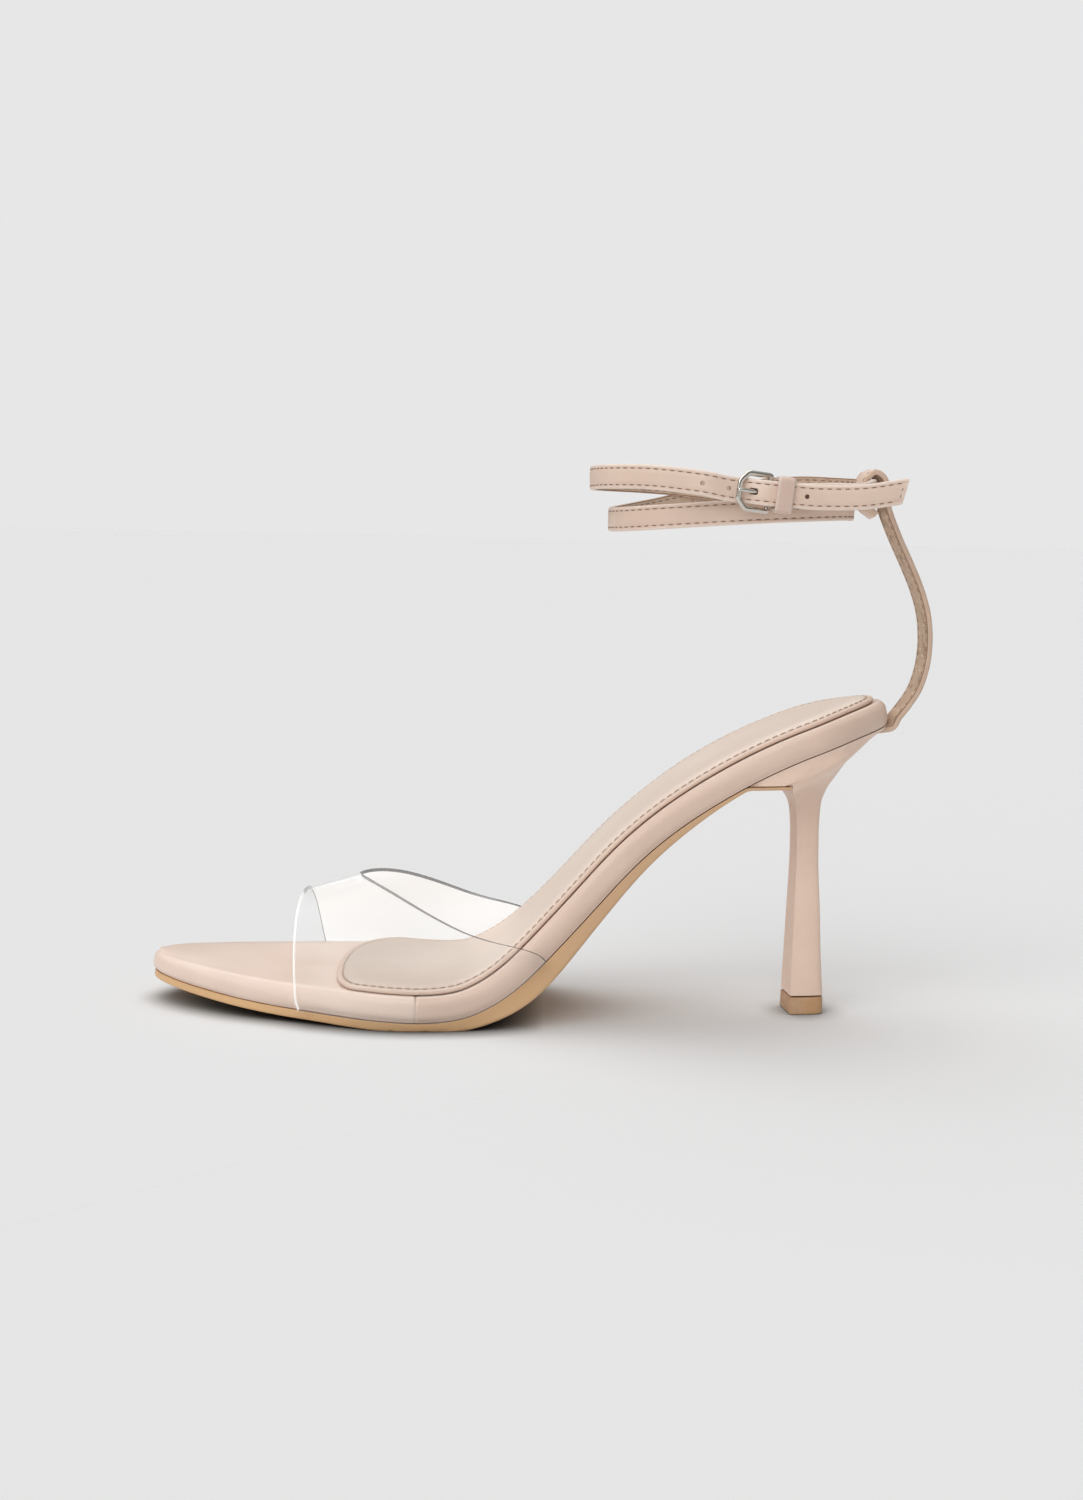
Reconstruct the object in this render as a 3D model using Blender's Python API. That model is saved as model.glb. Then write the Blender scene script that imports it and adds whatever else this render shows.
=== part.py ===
"""Strappy high heeled sandal of separate pieces that stands on its heel tip and the ball of its sole.

Lengths are in millimetres and become metres where a mesh is made. X runs from toe to heel, the
buckle is on the -Y side, Z is up. The origin is the centre of the heel tip's lower face.
"""

import math

import bmesh
import bpy
import numpy as np

MM = 0.001
CLEAR = 0.3
ROUND_END = 0.135

# Sole and last
FOOTBED_LENGTH = 220.5
SEAT_RISE = 86.0
BALL_WIDTH = 73.7
WAIST_WIDTH = 46.0
SEAT_WIDTH = 49.6
TOE_SWING = 4.2
HEEL_SET = 23.1
OUTSOLE_BALL = 2.8
OUTSOLE_ARCH = 5.4
OUTSOLE_TAIL = 0.9
OUTSOLE_INSET = 0.9
OUTSOLE_BEVEL = 0.45
OUTSOLE_SIDE = 0.75
TAIL_RUN = 12.0

# Wrapped platform and sock
PLATFORM = 7.2
LEATHER = 1.0
MARGIN = 4.5
SEAM_AT = 0.33
SOCK = 2.4
SOCK_INSET = 3.2
SOCK_FRONT = 0.225
SOCK_FRONT_REACH = {-1: 0.030, 1: 0.080}
SOCK_FRONT_POWER = 2.4
SOCK_FRONT_SET = 0.12

# Clear vamp
VAMP_WALL = 1.0
VAMP_RISE = 35.5
VAMP_FRONT_RISE = 28.2
VAMP_FRONT = 0.204
VAMP_SKEW = 0.009
VAMP_BACK = 0.500
VAMP_RIDGE_FRONT = 0.186
VAMP_RIDGE_BACK = 0.255
VAMP_STAND = 0.7
VAMP_FOLD = 2 / 2.7

# Heel and tip
TIP_LENGTH = 10.1
TIP_WIDTH = 11.5
TIP_HEIGHT = 5.3
HEEL_TURN = 7.0
LIP_REACH = 42.2
LIP_EDGE = 1.8
LIP_DROP = 1.2
BREAST_REACH = 31.6
SEAT_STEP = 0.7
SEAT_ROUND = 5.0
SEAT_INSET = 0.9
SEAT_FULL = 0.516

# Straps
STRAP = 1.6
STRAP_WIDTH = 7.0
LAYER_GAP = 0.4
EASE = 0.25
COUNTER = 1.8
COUNTER_WIDTH = 7.6
COUNTER_RISE = 73.2
COUNTER_BOW = 10.0
COUNTER_ROOT = 9.0
COUNTER_TWIST = 13.0
LOOP_DEPTH = 7.0
LOOP_LEAN = 8.0
LOOP_RISE = 68.2
ANKLE_LENGTH = 82.2
ANKLE_WIDTH = 47.2
WRAP_STEP = 11.9
LOOP_LAYER = 0.815

# Buckle and keeper
WIRE = 1.2
FRAME_LENGTH = 9.4
FRAME_HEIGHT = 9.9
FRAME_CORNER = 2.4
BUCKLE_AT = 0.411
BUCKLE_RISE = 0.65
BUCKLE_FALL = 6.0
PRONG = 1.2
KEEPER_WALL = 1.2
KEEPER_WIDTH = 4.7
KEEPER_SLACK = 0.5
KEEPER_SET = 3.9
FREE_END_SLANT = 3.2
FREE_LEAN = 2.36
SLOT_BACK = 2.6
KEEPER_SPARE = 0.4
PRONG_REACH = 1.1
PRONG_TIP = 0.75

# Slope of the sole's underside in degrees, at shares of its length from the toe
SOLE_SLOPE = (
    # share, degrees
    (0.00, -7.3),
    (0.10, -6.2),
    (0.20, -3.3),
    (0.30, -3.0),
    (0.36, 5.6),
    (0.42, 29.5),
    (0.50, 45.3),
    (0.60, 48.6),
    (0.70, 39.8),
    (0.80, 30.1),
    (0.90, 21.1),
    (1.00, 13.2),
)

# Half widths of the platform, each as a share of the width named in its row
SOLE_OUTLINE = (
    # share of length, width it follows, near share, far share
    (0.00, BALL_WIDTH, 0.000, 0.000),
    (0.02, BALL_WIDTH, 0.130, 0.144),
    (0.06, BALL_WIDTH, 0.231, 0.240),
    (0.12, BALL_WIDTH, 0.330, 0.349),
    (0.20, BALL_WIDTH, 0.415, 0.450),
    (0.30, BALL_WIDTH, 0.490, 0.510),
    (0.42, BALL_WIDTH, 0.448, 0.423),
    (0.55, WAIST_WIDTH, 0.565, 0.502),
    (0.68, WAIST_WIDTH, 0.517, 0.485),
    (0.80, SEAT_WIDTH, 0.516, 0.500),
    (0.90, SEAT_WIDTH, 0.490, 0.478),
    (0.97, SEAT_WIDTH, 0.282, 0.266),
    (1.00, SEAT_WIDTH, 0.000, 0.000),
)

# Height of the platform and depth of the outsole along the sole
PLATFORM_HEIGHT = ((0.0, 0.74), (0.12, 0.89), (0.30, 1.0), (0.40, 1.0), (1.0, 1.0))
OUTSOLE_DEPTH = (
    # share of length, depth
    (0.00, 0.75 * OUTSOLE_BALL),
    (0.10, 0.85 * OUTSOLE_BALL),
    (0.30, OUTSOLE_BALL),
    (0.38, 0.65 * OUTSOLE_ARCH),
    (0.47, OUTSOLE_ARCH),
    (0.58, 0.68 * OUTSOLE_ARCH),
    (0.70, 0.42 * OUTSOLE_ARCH),
    (0.82, OUTSOLE_TAIL),
    (1.00, OUTSOLE_TAIL),
)

# Rounded edge of the wrapped platform, from the turned under margin to the top crease
EDGE_PROFILE = (
    # inset as a share of the margin, share of the platform's height
    (1.00, 0.00),
    (0.24, 0.00),
    (0.05, 0.22),
    (0.00, 0.50),
    (0.08, 0.80),
    (0.30, 1.00),
    (1.00, 1.00),
)

# Heel from the tip to just under the seat, as shares of the seat's height and of the lengths named
HEEL_ROWS = (
    # front rise, back rise, front reach, back reach, width, share of the seat form
    (0.066, 0.066, -0.49, 0.56, 0.97, 0.00),
    (0.198, 0.198, -0.465, 0.47, 0.90, 0.00),
    (0.350, 0.350, -0.44, 0.40, 0.82, 0.00),
    (0.530, 0.530, -0.41, 0.30, 0.73, 0.00),
    (0.640, 0.640, -0.43, 0.28, 0.72, 0.00),
    (0.695, 0.716, -0.47, 0.31, 0.76, 0.04),
    (0.730, 0.770, -0.54, 0.45, 0.95, 0.12),
    (0.753, 0.826, -0.66, 0.75, 1.45, 0.30),
    (0.768, 0.893, -0.74, 1.17, 2.50, 0.62),
    (0.780, 0.935, -0.79, 1.55, 3.50, 0.88),
)

# Back strap from the seat to the top of its loop
COUNTER_PATH = (
    # bow as a share of COUNTER_BOW, rise as a share of COUNTER_RISE
    (0.00, -0.017),
    (0.18, 0.024),
    (0.46, 0.076),
    (0.74, 0.142),
    (0.93, 0.235),
    (0.98, 0.335),
    (0.90, 0.440),
    (0.66, 0.545),
    (0.33, 0.645),
    (-0.03, 0.745),
    (-0.36, 0.850),
)

# Back strap's loop round the ankle strap, as shares of LOOP_DEPTH and STRAP_WIDTH from the loop's middle
LOOP_PATH = (
    # depth, rise
    (0.55, -0.42),
    (0.50, 0.00),
    (0.36, 0.52),
    (0.02, 0.76),
    (-0.34, 0.54),
    (-0.44, 0.00),
    (-0.35, -0.60),
    (0.14, -1.02),
)

# Ankle strap after its eye, as shares of ANKLE_LENGTH, ANKLE_WIDTH and WRAP_STEP, with its near layer
ANKLE_ROUTE = (
    # along, across, layer, rise
    (-0.190, -0.50, "main", 0.635),
    (-0.092, -0.47, "main", 0.650),
    (-0.026, -0.25, "rising", 0.775),
    (0.000, 0.00, "wrap", LOOP_LAYER),
    (-0.020, 0.28, "wrap", 0.857),
    (-0.086, 0.49, "wrap", 0.900),
    (-0.202, 0.60, "wrap", 0.930),
    (-0.360, 0.63, "wrap", 0.840),
    (-0.555, 0.605, "wrap", 0.590),
    (-0.749, 0.48, "wrap", 0.285),
    (-0.883, 0.25, "wrap", 0.085),
    (-0.931, 0.00, "wrap", 0.000),
    (-0.889, -0.25, "wrap", 0.000),
    (-0.762, -0.43, "wrap", 0.068),
    (-0.579, -0.50, "wrap", 0.170),
    (-0.409, -0.50, "wrap", 0.255),
    (-0.251, -0.48, "wrap", 0.320),
    (-0.135, -0.37, "wrap", 0.361),
    (-0.088, -0.18, "wrap", 0.370),
    (-0.076, 0.00, "wrap", 0.370),
    (-0.090, 0.18, "wrap", 0.403),
    (-0.141, 0.37, "wrap", 0.470),
    (-0.251, 0.487, "wrap", 0.571),
    (-0.409, 0.54, "wrap", 0.730),
    (-0.603, 0.545, "wrap", 0.907),
    (-0.798, 0.457, "wrap", 0.983),
    (-0.944, 0.265, "wrap", 1.000),
    (-1.000, 0.00, "wrap", 1.000),
    (-0.950, -0.30, "wrap", 1.008),
    (-0.810, -0.50, "wrap", 0.991),
)

# Its last run, past the buckle to the free end: from the hinge bar towards the toe, and up
FREE_ROUTE = (
    # leftward, up, layer
    (20.0, 0.6, "main"),
    (12.3, 0.05, "main"),
    (8.2, 0.0, "main"),
    (2.05, 0.0, "free"),
    (-2.15, 0.07, "free"),
    (-8.3, 0.3, "free"),
    (-14.2, 0.65, "free"),
    (-26.1, 2.3, "end"),
    (-37.5, 5.4, "tip"),
)


# Curves through the rows of a table

def through(rows, at, column=1):
    """Value of a table's column at the given shares, on a smooth curve that stays between its rows."""
    xs = np.array([row[0] for row in rows], float)
    ys = np.array([row[column] for row in rows], float)
    at = np.clip(np.asarray(at, float), xs[0], xs[-1])
    step = np.diff(xs)
    rise = np.diff(ys) / step
    slope = np.concatenate([rise[:1], np.zeros(len(rise) - 1), rise[-1:]])
    for i in range(1, len(rise)):
        if rise[i - 1] * rise[i] > 0:
            slope[i] = 2 * rise[i - 1] * rise[i] / (rise[i - 1] + rise[i])
    i = np.clip(np.searchsorted(xs, at, side="right") - 1, 0, len(step) - 1)
    t = (at - xs[i]) / step[i]
    low = ys[i] * (1 + 2 * t) * (1 - t) ** 2 + step[i] * slope[i] * t * (1 - t) ** 2
    high = ys[i + 1] * t**2 * (3 - 2 * t) + step[i] * slope[i + 1] * t**2 * (t - 1)
    return low + high


def path_through(points, steps):
    """Smooth line through points, with a few steps to each span."""
    points = np.asarray(points, float)
    ends = np.concatenate([[2 * points[0] - points[1]], points, [2 * points[-1] - points[-2]]])
    line = []
    for a, b, c, d in zip(ends, ends[1:], ends[2:], ends[3:]):
        for t in np.arange(steps) / steps:
            bend = (2 * a - 5 * b + 4 * c - d) * t**2 + (3 * b - a - 3 * c + d) * t**3
            line.append(b + 0.5 * ((c - a) * t + bend))
    line.append(points[-1])
    return np.array(line)


# The sole's side profile: a line of given slope, drawn to the named length and rise

FINE = np.linspace(0.0, 1.0, 401)
SLOPE = np.radians(through(SOLE_SLOPE, FINE))
MEAN_SLOPE = (SLOPE[1:] + SLOPE[:-1]) / 2
RUN = np.concatenate([[0.0], np.cumsum(np.cos(MEAN_SLOPE))])
CLIMB = np.concatenate([[0.0], np.cumsum(np.sin(MEAN_SLOPE))])
BED_X = HEEL_SET - FOOTBED_LENGTH * (1 - RUN / RUN[-1])
BED_Z = OUTSOLE_BALL - CLEAR + SEAT_RISE * (CLIMB - CLIMB.min()) / (CLIMB[-1] - CLIMB.min())
BED_TURN = np.arctan2(np.gradient(BED_Z), np.gradient(BED_X))
SOLE_ARC = float(np.hypot(np.diff(BED_X), np.diff(BED_Z)).sum())


def bed(along, across, height):
    """Points over the underside of the platform: along and across it, and up square to it."""
    share = np.asarray(along, float) / SOLE_ARC
    turn = np.interp(share, FINE, BED_TURN)
    x = np.interp(share, FINE, BED_X) - np.sin(turn) * height
    z = np.interp(share, FINE, BED_Z) + np.cos(turn) * height
    return np.stack(np.broadcast_arrays(x, across, z), axis=-1)


def share_at(x):
    return float(np.interp(x, BED_X, FINE))


def platform(share):
    return PLATFORM * through(PLATFORM_HEIGHT, share)


def half_width(share, side):
    """Half width of the platform: side -1 is the near one with the buckle, +1 the far one."""
    column = 2 if side < 0 else 3
    squares = [(row[0], (row[1] * row[column]) ** 2) for row in SOLE_OUTLINE]
    return np.sqrt(np.maximum(through(squares, share), 0.0))


def build_edge(side):
    """The outline of one side with the direction that points into the sole."""
    turn = np.linspace(0.0, math.pi, 721)
    share = (1 - np.cos(turn)) / 2
    along = share * SOLE_ARC
    across = TOE_SWING * (1 - share) ** 2 + side * half_width(share, side)
    step_along = np.gradient(along)
    step_across = np.gradient(across)
    size = np.hypot(step_along, step_across)
    return share, along, across, side * step_across / size, -side * step_along / size


EDGES = {side: build_edge(side) for side in (-1, 1)}


def edge(side, share, inset):
    """Places along and across the sole, moved in from its outline by an inset."""
    shares, along, across, in_along, in_across = EDGES[side]
    turn = np.interp(share, shares, np.linspace(0.0, 1.0, len(shares)))
    places = np.linspace(0.0, 1.0, len(shares))
    return (
        np.interp(turn, places, along) + np.interp(turn, places, in_along) * inset,
        np.interp(turn, places, across) + np.interp(turn, places, in_across) * inset,
    )


def stations(start, end, count):
    """Shares of the sole's length, closer together near its round ends."""
    even = np.linspace(0.0, 1.0, 201)
    dense = even - ROUND_END * np.sin(2 * math.pi * even)
    low, high = np.interp([start, end], dense, even)
    return np.interp(np.linspace(low, high, count), even, dense)


# Meshes

def new_object(name, points, faces, finish):
    mesh = bpy.data.meshes.new(name)
    form = bmesh.new()
    corners = [form.verts.new(point) for point in np.asarray(points) * MM]
    for face in faces:
        form.faces.new([corners[i] for i in face])
    bmesh.ops.recalc_face_normals(form, faces=form.faces)
    form.to_mesh(mesh)
    form.free()
    mesh.shade_smooth()
    mesh.set_sharp_from_angle(angle=math.radians(40))
    mesh.materials.append(finish)
    item = bpy.data.objects.new(name, mesh)
    bpy.context.scene.collection.objects.link(item)
    return item


def finish_of(name, colour, roughness, metallic=0.0, alpha=1.0):
    material = bpy.data.materials.new(name)
    material.use_nodes = True
    shader = material.node_tree.nodes["Principled BSDF"]
    shader.inputs["Base Color"].default_value = (*colour, 1.0)
    shader.inputs["Roughness"].default_value = roughness
    shader.inputs["Metallic"].default_value = metallic
    shader.inputs["Alpha"].default_value = alpha
    return material


def ribs(shares, inset, height, tip=True, back=True):
    """Two chains of points over the sole, near and far, that share a tip point and a back point if asked."""
    chains = []
    for side in (-1, 1):
        along, across = edge(side, shares, inset)
        chains.append(bed(along, across, height))
    near, far = chains
    if tip:
        near[0] = far[0] = (near[0] + far[0]) / 2
    if back:
        near[-1] = far[-1] = (near[-1] + far[-1]) / 2
    return near, far


class Rings:
    """Collects points once each and the faces between rows of them."""

    def __init__(self):
        self.points = []
        self.faces = []
        self.known = {}

    def add(self, point):
        key = tuple(round(float(value), 4) for value in point)
        if key not in self.known:
            self.known[key] = len(self.points)
            self.points.append(point)
        return self.known[key]

    def row(self, points):
        return [self.add(point) for point in points]

    def face(self, *corners):
        kept = list(dict.fromkeys(corners))
        if len(kept) > 2:
            self.faces.append(kept)

    def strip(self, first, second):
        for a, b, c, d in zip(first, first[1:], second[1:], second):
            self.face(a, b, c, d)


def layered(rows, tip, back, bottom=True, top=True):
    """Surface through pairs of near and far chains, filled across its lowest and highest pair."""
    rings = Rings()
    pairs = [(rings.row(near), rings.row(far)) for near, far in rows]
    for (near, far), (next_near, next_far) in zip(pairs, pairs[1:]):
        rings.strip(near, next_near)
        rings.strip(next_far, far)
        if not tip and bottom and top:
            rings.face(far[0], near[0], next_near[0], next_far[0])
        if not back and bottom and top:
            rings.face(near[-1], far[-1], next_far[-1], next_near[-1])
    if bottom:
        rings.strip(pairs[0][1], pairs[0][0])
    if top:
        rings.strip(pairs[-1][0], pairs[-1][1])
    return rings


def thicken(item, wall, offset=-1.0):
    solid = item.modifiers.new("wall", "SOLIDIFY")
    solid.thickness = wall * MM
    solid.offset = offset
    solid.use_even_offset = True
    solid.use_quality_normals = True


def swept(sections, across_end=False):
    """Closed body through rings of equally many points, its last end capped straight across if asked."""
    rings = Rings()
    rows = [rings.row(section) for section in sections]
    for first, second in zip(rows, rows[1:]):
        rings.strip(first + first[:1], second + second[:1])
    rings.face(*rows[0])
    half = len(rows[-1]) // 2 + 1
    if across_end:
        rings.strip(rows[-1][:half], rows[-1][: half - 2 : -1])
    else:
        rings.face(*rows[-1])
    return rings


def ribbon(line, width_way, width, wall):
    """Sections of a flat strap with eased edges along a line, its width held near the given direction."""
    line = np.asarray(line, float)
    way = np.gradient(line, axis=0)
    way /= np.linalg.norm(way, axis=1)[:, None]
    width_way = np.broadcast_to(width_way, line.shape)
    up = width_way - way * np.sum(way * width_way, axis=1)[:, None]
    up /= np.linalg.norm(up, axis=1)[:, None]
    out = np.cross(way, up)
    ease = EASE * wall
    corners = (
        (width / 2 - ease, wall / 2),
        (width / 2, wall / 2 - ease),
        (width / 2, ease - wall / 2),
        (width / 2 - ease, -wall / 2),
        (ease - width / 2, -wall / 2),
        (-width / 2, ease - wall / 2),
        (-width / 2, wall / 2 - ease),
        (ease - width / 2, wall / 2),
    )
    return [[p + up[i] * w + out[i] * t for w, t in corners] for i, p in enumerate(line)]


def cut(item, cutter):
    cutter.hide_render = True
    cutter.display_type = "WIRE"
    cutter.parent = item
    hole = item.modifiers.new("cut " + cutter.name, "BOOLEAN")
    hole.operation = "DIFFERENCE"
    hole.object = cutter


# Sole pieces

TAIL_X = HEEL_SET - LIP_REACH
BREAST_X = HEEL_SET - BREAST_REACH
TAIL_SHARE = share_at(BREAST_X - CLEAR)
LIP_SHARE = share_at(TAIL_X + LIP_EDGE)
SEAM_HALF = CLEAR / SOLE_ARC / 2
BEND = (0.365, 0.395, 0.425, 0.455, 0.485)
SEAM_SHARES = (SEAM_AT - SEAM_HALF, SEAM_AT + SEAM_HALF, SEAM_AT + 40 * SEAM_HALF)
SHARES = np.union1d(stations(0.0, 1.0, 31), [*BEND, *SEAM_SHARES, TAIL_SHARE, share_at(TAIL_X)])


def between(start, end):
    """The sole's stations from one share of its length to another."""
    return SHARES[(SHARES > start - 1e-9) & (SHARES < end + 1e-9)]


def lip_level(x):
    """Underside of the heel's front lip, nearly level from the lip's edge to the breast."""
    return float(np.interp(TAIL_X, BED_X, BED_Z)) - LIP_DROP + 0.03 * (x - TAIL_X)


def make_outsole(finish):
    shares = between(0.0, TAIL_SHARE)
    depth = through(OUTSOLE_DEPTH, shares)
    rows = []
    for bevel, share_of_depth in ((OUTSOLE_BEVEL, 1.0), (0.0, OUTSOLE_SIDE), (0.0, 0.0)):
        near, far = ribs(shares, OUTSOLE_INSET + bevel, -CLEAR - depth * share_of_depth, back=False)
        for chain in (near, far):
            level = lip_level(chain[:, 0]) - CLEAR - OUTSOLE_TAIL * share_of_depth
            chain[:, 2] = np.minimum(chain[:, 2], np.where(chain[:, 0] > TAIL_X - TAIL_RUN, level, np.inf))
            chain[:, 2] = np.maximum(chain[:, 2], OUTSOLE_BEVEL * (share_of_depth < 1.0))
            chain[:, 0] = np.minimum(chain[:, 0], BREAST_X - CLEAR)
        rows.append((near, far))
    rings = layered(rows, tip=True, back=False)
    return new_object("outsole", rings.points, rings.faces, finish)


def make_insole_board(finish):
    shares = between(0.0, 1.0)
    high = platform(shares)
    skin = LEATHER + CLEAR
    open_top = shares > SEAM_AT + 0.01
    rows = []
    for inset, rise in EDGE_PROFILE[1:6]:
        rows.append(ribs(shares, MARGIN * inset + skin, np.clip(high * rise, skin, high - skin)))
    rows.append(ribs(shares, MARGIN + CLEAR, high - skin))
    rows.append(ribs(shares, MARGIN + 2 * CLEAR, np.where(open_top, high, high - skin)))
    rings = layered(rows, tip=True, back=True)
    return new_object("insole_board", rings.points, rings.faces, finish)


def make_toe_cover(finish):
    shares = between(0.0, SEAM_AT - SEAM_HALF)
    rows = [
        ribs(shares, MARGIN * inset, platform(shares) * rise, back=False)
        for inset, rise in EDGE_PROFILE
    ]
    rings = layered(rows, tip=True, back=False, bottom=False)
    item = new_object("toe_cover", rings.points, rings.faces, finish)
    thicken(item, LEATHER)
    return item


def make_rand(finish):
    shares = between(SEAM_AT + SEAM_HALF, 1.0)
    rows = [
        ribs(shares, MARGIN * inset, platform(shares) * rise, tip=False)
        for inset, rise in EDGE_PROFILE
    ]
    rings = layered(rows, tip=False, back=True, bottom=False, top=False)
    item = new_object("rand", rings.points, rings.faces, finish)
    thicken(item, LEATHER)
    return item


def sock_chains(shares, inset, height):
    """The sock follows the sole's outline and has its own round, slanting front end."""
    chains = []
    for side, reach in SOCK_FRONT_REACH.items():
        along, across = edge(side, shares, SOCK_INSET + inset)
        front = np.clip((shares - SOCK_FRONT - inset / SOLE_ARC) / reach, 0.0, 1.0)
        swell = (1 - (1 - front) ** SOCK_FRONT_POWER) ** (1 / SOCK_FRONT_POWER)
        middle = TOE_SWING * (1 - SOCK_FRONT) ** 2 - SOCK_FRONT_SET * BALL_WIDTH
        across = middle + (across - middle) * swell
        along = np.maximum(along, (SOCK_FRONT * SOLE_ARC + inset))
        chains.append(bed(along, across, height))
    near, far = chains
    near[0] = far[0] = (near[0] + far[0]) / 2
    near[-1] = far[-1] = (near[-1] + far[-1]) / 2
    return near, far


def make_sock_pad(finish):
    front = SOCK_FRONT + np.array([0.0, 0.0015, 0.005, 0.011, 0.02, 0.032, 0.05, 0.08])
    shares = np.concatenate([front, between(SOCK_FRONT + 0.10, 1.0)])
    rise = platform(shares) + CLEAR
    rows = [
        sock_chains(shares, 0.5, rise),
        sock_chains(shares, 0.0, rise + 0.3 * SOCK),
        sock_chains(shares, 0.2, rise + 0.7 * SOCK),
        sock_chains(shares, 1.2, rise + SOCK),
    ]
    rings = layered(rows, tip=True, back=True)
    return new_object("sock_pad", rings.points, rings.faces, finish)


# Clear vamp: an arch from one feather line to the other, swept back at the throat

def vamp_point(reach, turn):
    """A point of the vamp: reach is 0 at its front edge and 1 at its throat, turn 0 at its near foot."""
    side = -1 if turn < math.pi / 2 else 1
    lift = math.sin(turn) ** VAMP_FOLD
    wide = abs(math.cos(turn)) ** VAMP_FOLD
    foot = VAMP_FRONT + side * VAMP_SKEW * (1 - reach) + (VAMP_BACK - VAMP_FRONT) * reach
    ridge = VAMP_RIDGE_FRONT + (VAMP_RIDGE_BACK - VAMP_RIDGE_FRONT) * reach
    front_sweep = lift**0.4
    climb = 1 - abs(1 - turn / (math.pi / 2))
    throat_sweep = 0.75 * climb**0.85 + 0.25 * math.sin(turn) ** 1.3
    share = foot + (ridge - foot) * (front_sweep + (throat_sweep - front_sweep) * reach**0.6)
    along, across = edge(side, share, -VAMP_STAND - VAMP_WALL / 2)
    middle = TOE_SWING * (1 - share) ** 2
    place = bed(along, middle + (across - middle) * wide, CLEAR)
    place[2] += (VAMP_FRONT_RISE + (VAMP_RISE - VAMP_FRONT_RISE) * reach) * lift
    return place


def make_vamp(finish):
    sheet = Rings()
    rows = []
    for reach in np.linspace(0.0, 1.0, 10):
        rows.append(sheet.row([vamp_point(reach, turn) for turn in np.linspace(0.0, math.pi, 27)]))
    for first, second in zip(rows, rows[1:]):
        sheet.strip(first, second)
    item = new_object("vamp", sheet.points, sheet.faces, finish)
    thicken(item, VAMP_WALL, 0.0)
    return item


# Heel and its tip

def heel_ring(front, back, half, seat, near_far):
    """One section of the heel, from its near front corner round the back to its far front corner."""
    turns = np.linspace(0.0, math.pi / 2, 9)
    round_power = 2 / (6 - 4 * seat)
    ring = []
    for side, order in ((-1, turns), (1, turns[-2::-1])):
        for turn in order:
            depth = math.sin(turn) ** round_power
            block = half * math.cos(turn) ** round_power
            share = LIP_SHARE + (1 - LIP_SHARE) * depth
            outline = abs(near_far(side, share)) * half
            across = side * (block * (1 - seat) + outline * seat)
            place = front + (back - front) * depth
            ring.append(np.array([place[0], across, place[1]]))
    return ring


def seat_form(side, share):
    """Half width of the seat at a share of the sole's length, with the widest part as 1."""
    along, across = edge(side, share, 0.0)
    return across / (SEAT_FULL * SEAT_WIDTH)


def turned(ring, degrees):
    turn = math.radians(degrees)
    spin = np.array([[math.cos(turn), math.sin(turn), 0], [-math.sin(turn), math.cos(turn), 0], [0, 0, 1]])
    return [point @ spin for point in ring]


def make_heel(finish):
    seat = float(BED_Z[-1])
    sections = []
    for low, high, front, back, wide, form in HEEL_ROWS:
        ring = heel_ring(
            np.array([front * TIP_LENGTH, low * seat]),
            np.array([back * TIP_LENGTH, high * seat]),
            wide * TIP_WIDTH / 2,
            form,
            seat_form,
        )
        sections.append(turned(ring, HEEL_TURN * (1 - form)))
    sections.append(
        heel_ring(
            np.array([BREAST_X + CLEAR, lip_level(BREAST_X)]),
            np.array([HEEL_SET - SEAT_ROUND, 0.962 * seat]),
            SEAT_WIDTH / 2 - SEAT_STEP,
            0.95,
            seat_form,
        )
    )
    for drop in (SEAT_STEP, 0.0):
        ring = []
        for point in heel_ring(np.array([0.0, 0.0]), np.array([1.0, 0.0]), 1.0, 1.0, seat_form):
            share = LIP_SHARE + (1 - LIP_SHARE) * point[0]
            side = -1 if point[1] < 0 or len(ring) < 9 else 1
            along, across = edge(side, share, SEAT_INSET + drop / 2)
            place = bed(along, across if point[0] < 0.999 else 0.0, -CLEAR - drop)
            place[2] = max(place[2], lip_level(place[0]) if place[0] < BREAST_X else 0.0)
            ring.append(place)
        sections.append(ring)
    rings = swept(sections, across_end=True)
    item = new_object("heel", rings.points, rings.faces, finish)
    root = counter_line()[:12]
    start = root[0] * 2 - root[1]
    pocket = swept(
        ribbon([start, *root], COUNTER_ACROSS, COUNTER_WIDTH + 2 * CLEAR, COUNTER + 2 * CLEAR)
    )
    cut(item, new_object("heel_pocket", pocket.points, pocket.faces, finish))
    return item


def make_heel_tip(finish):
    sections = []
    for rise, size in ((0.0, 1.0), (TIP_HEIGHT - CLEAR, 0.985)):
        ring = heel_ring(
            np.array([-0.50 * TIP_LENGTH * size, rise]),
            np.array([0.57 * TIP_LENGTH * size, rise]),
            size * TIP_WIDTH / 2,
            0.0,
            seat_form,
        )
        sections.append(turned(ring, HEEL_TURN))
    rings = swept(sections)
    return new_object("heel_tip", rings.points, rings.faces, finish)


# Back strap

SEAT_BACK = bed(SOLE_ARC, 0.0, 0.0)
COUNTER_TURN = math.radians(COUNTER_TWIST)
COUNTER_ACROSS = np.array([-math.sin(COUNTER_TURN), math.cos(COUNTER_TURN), 0.0])
LOOP_MIDDLE = SEAT_BACK + np.array([-LOOP_LEAN, 0.0, LOOP_RISE])


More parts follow.
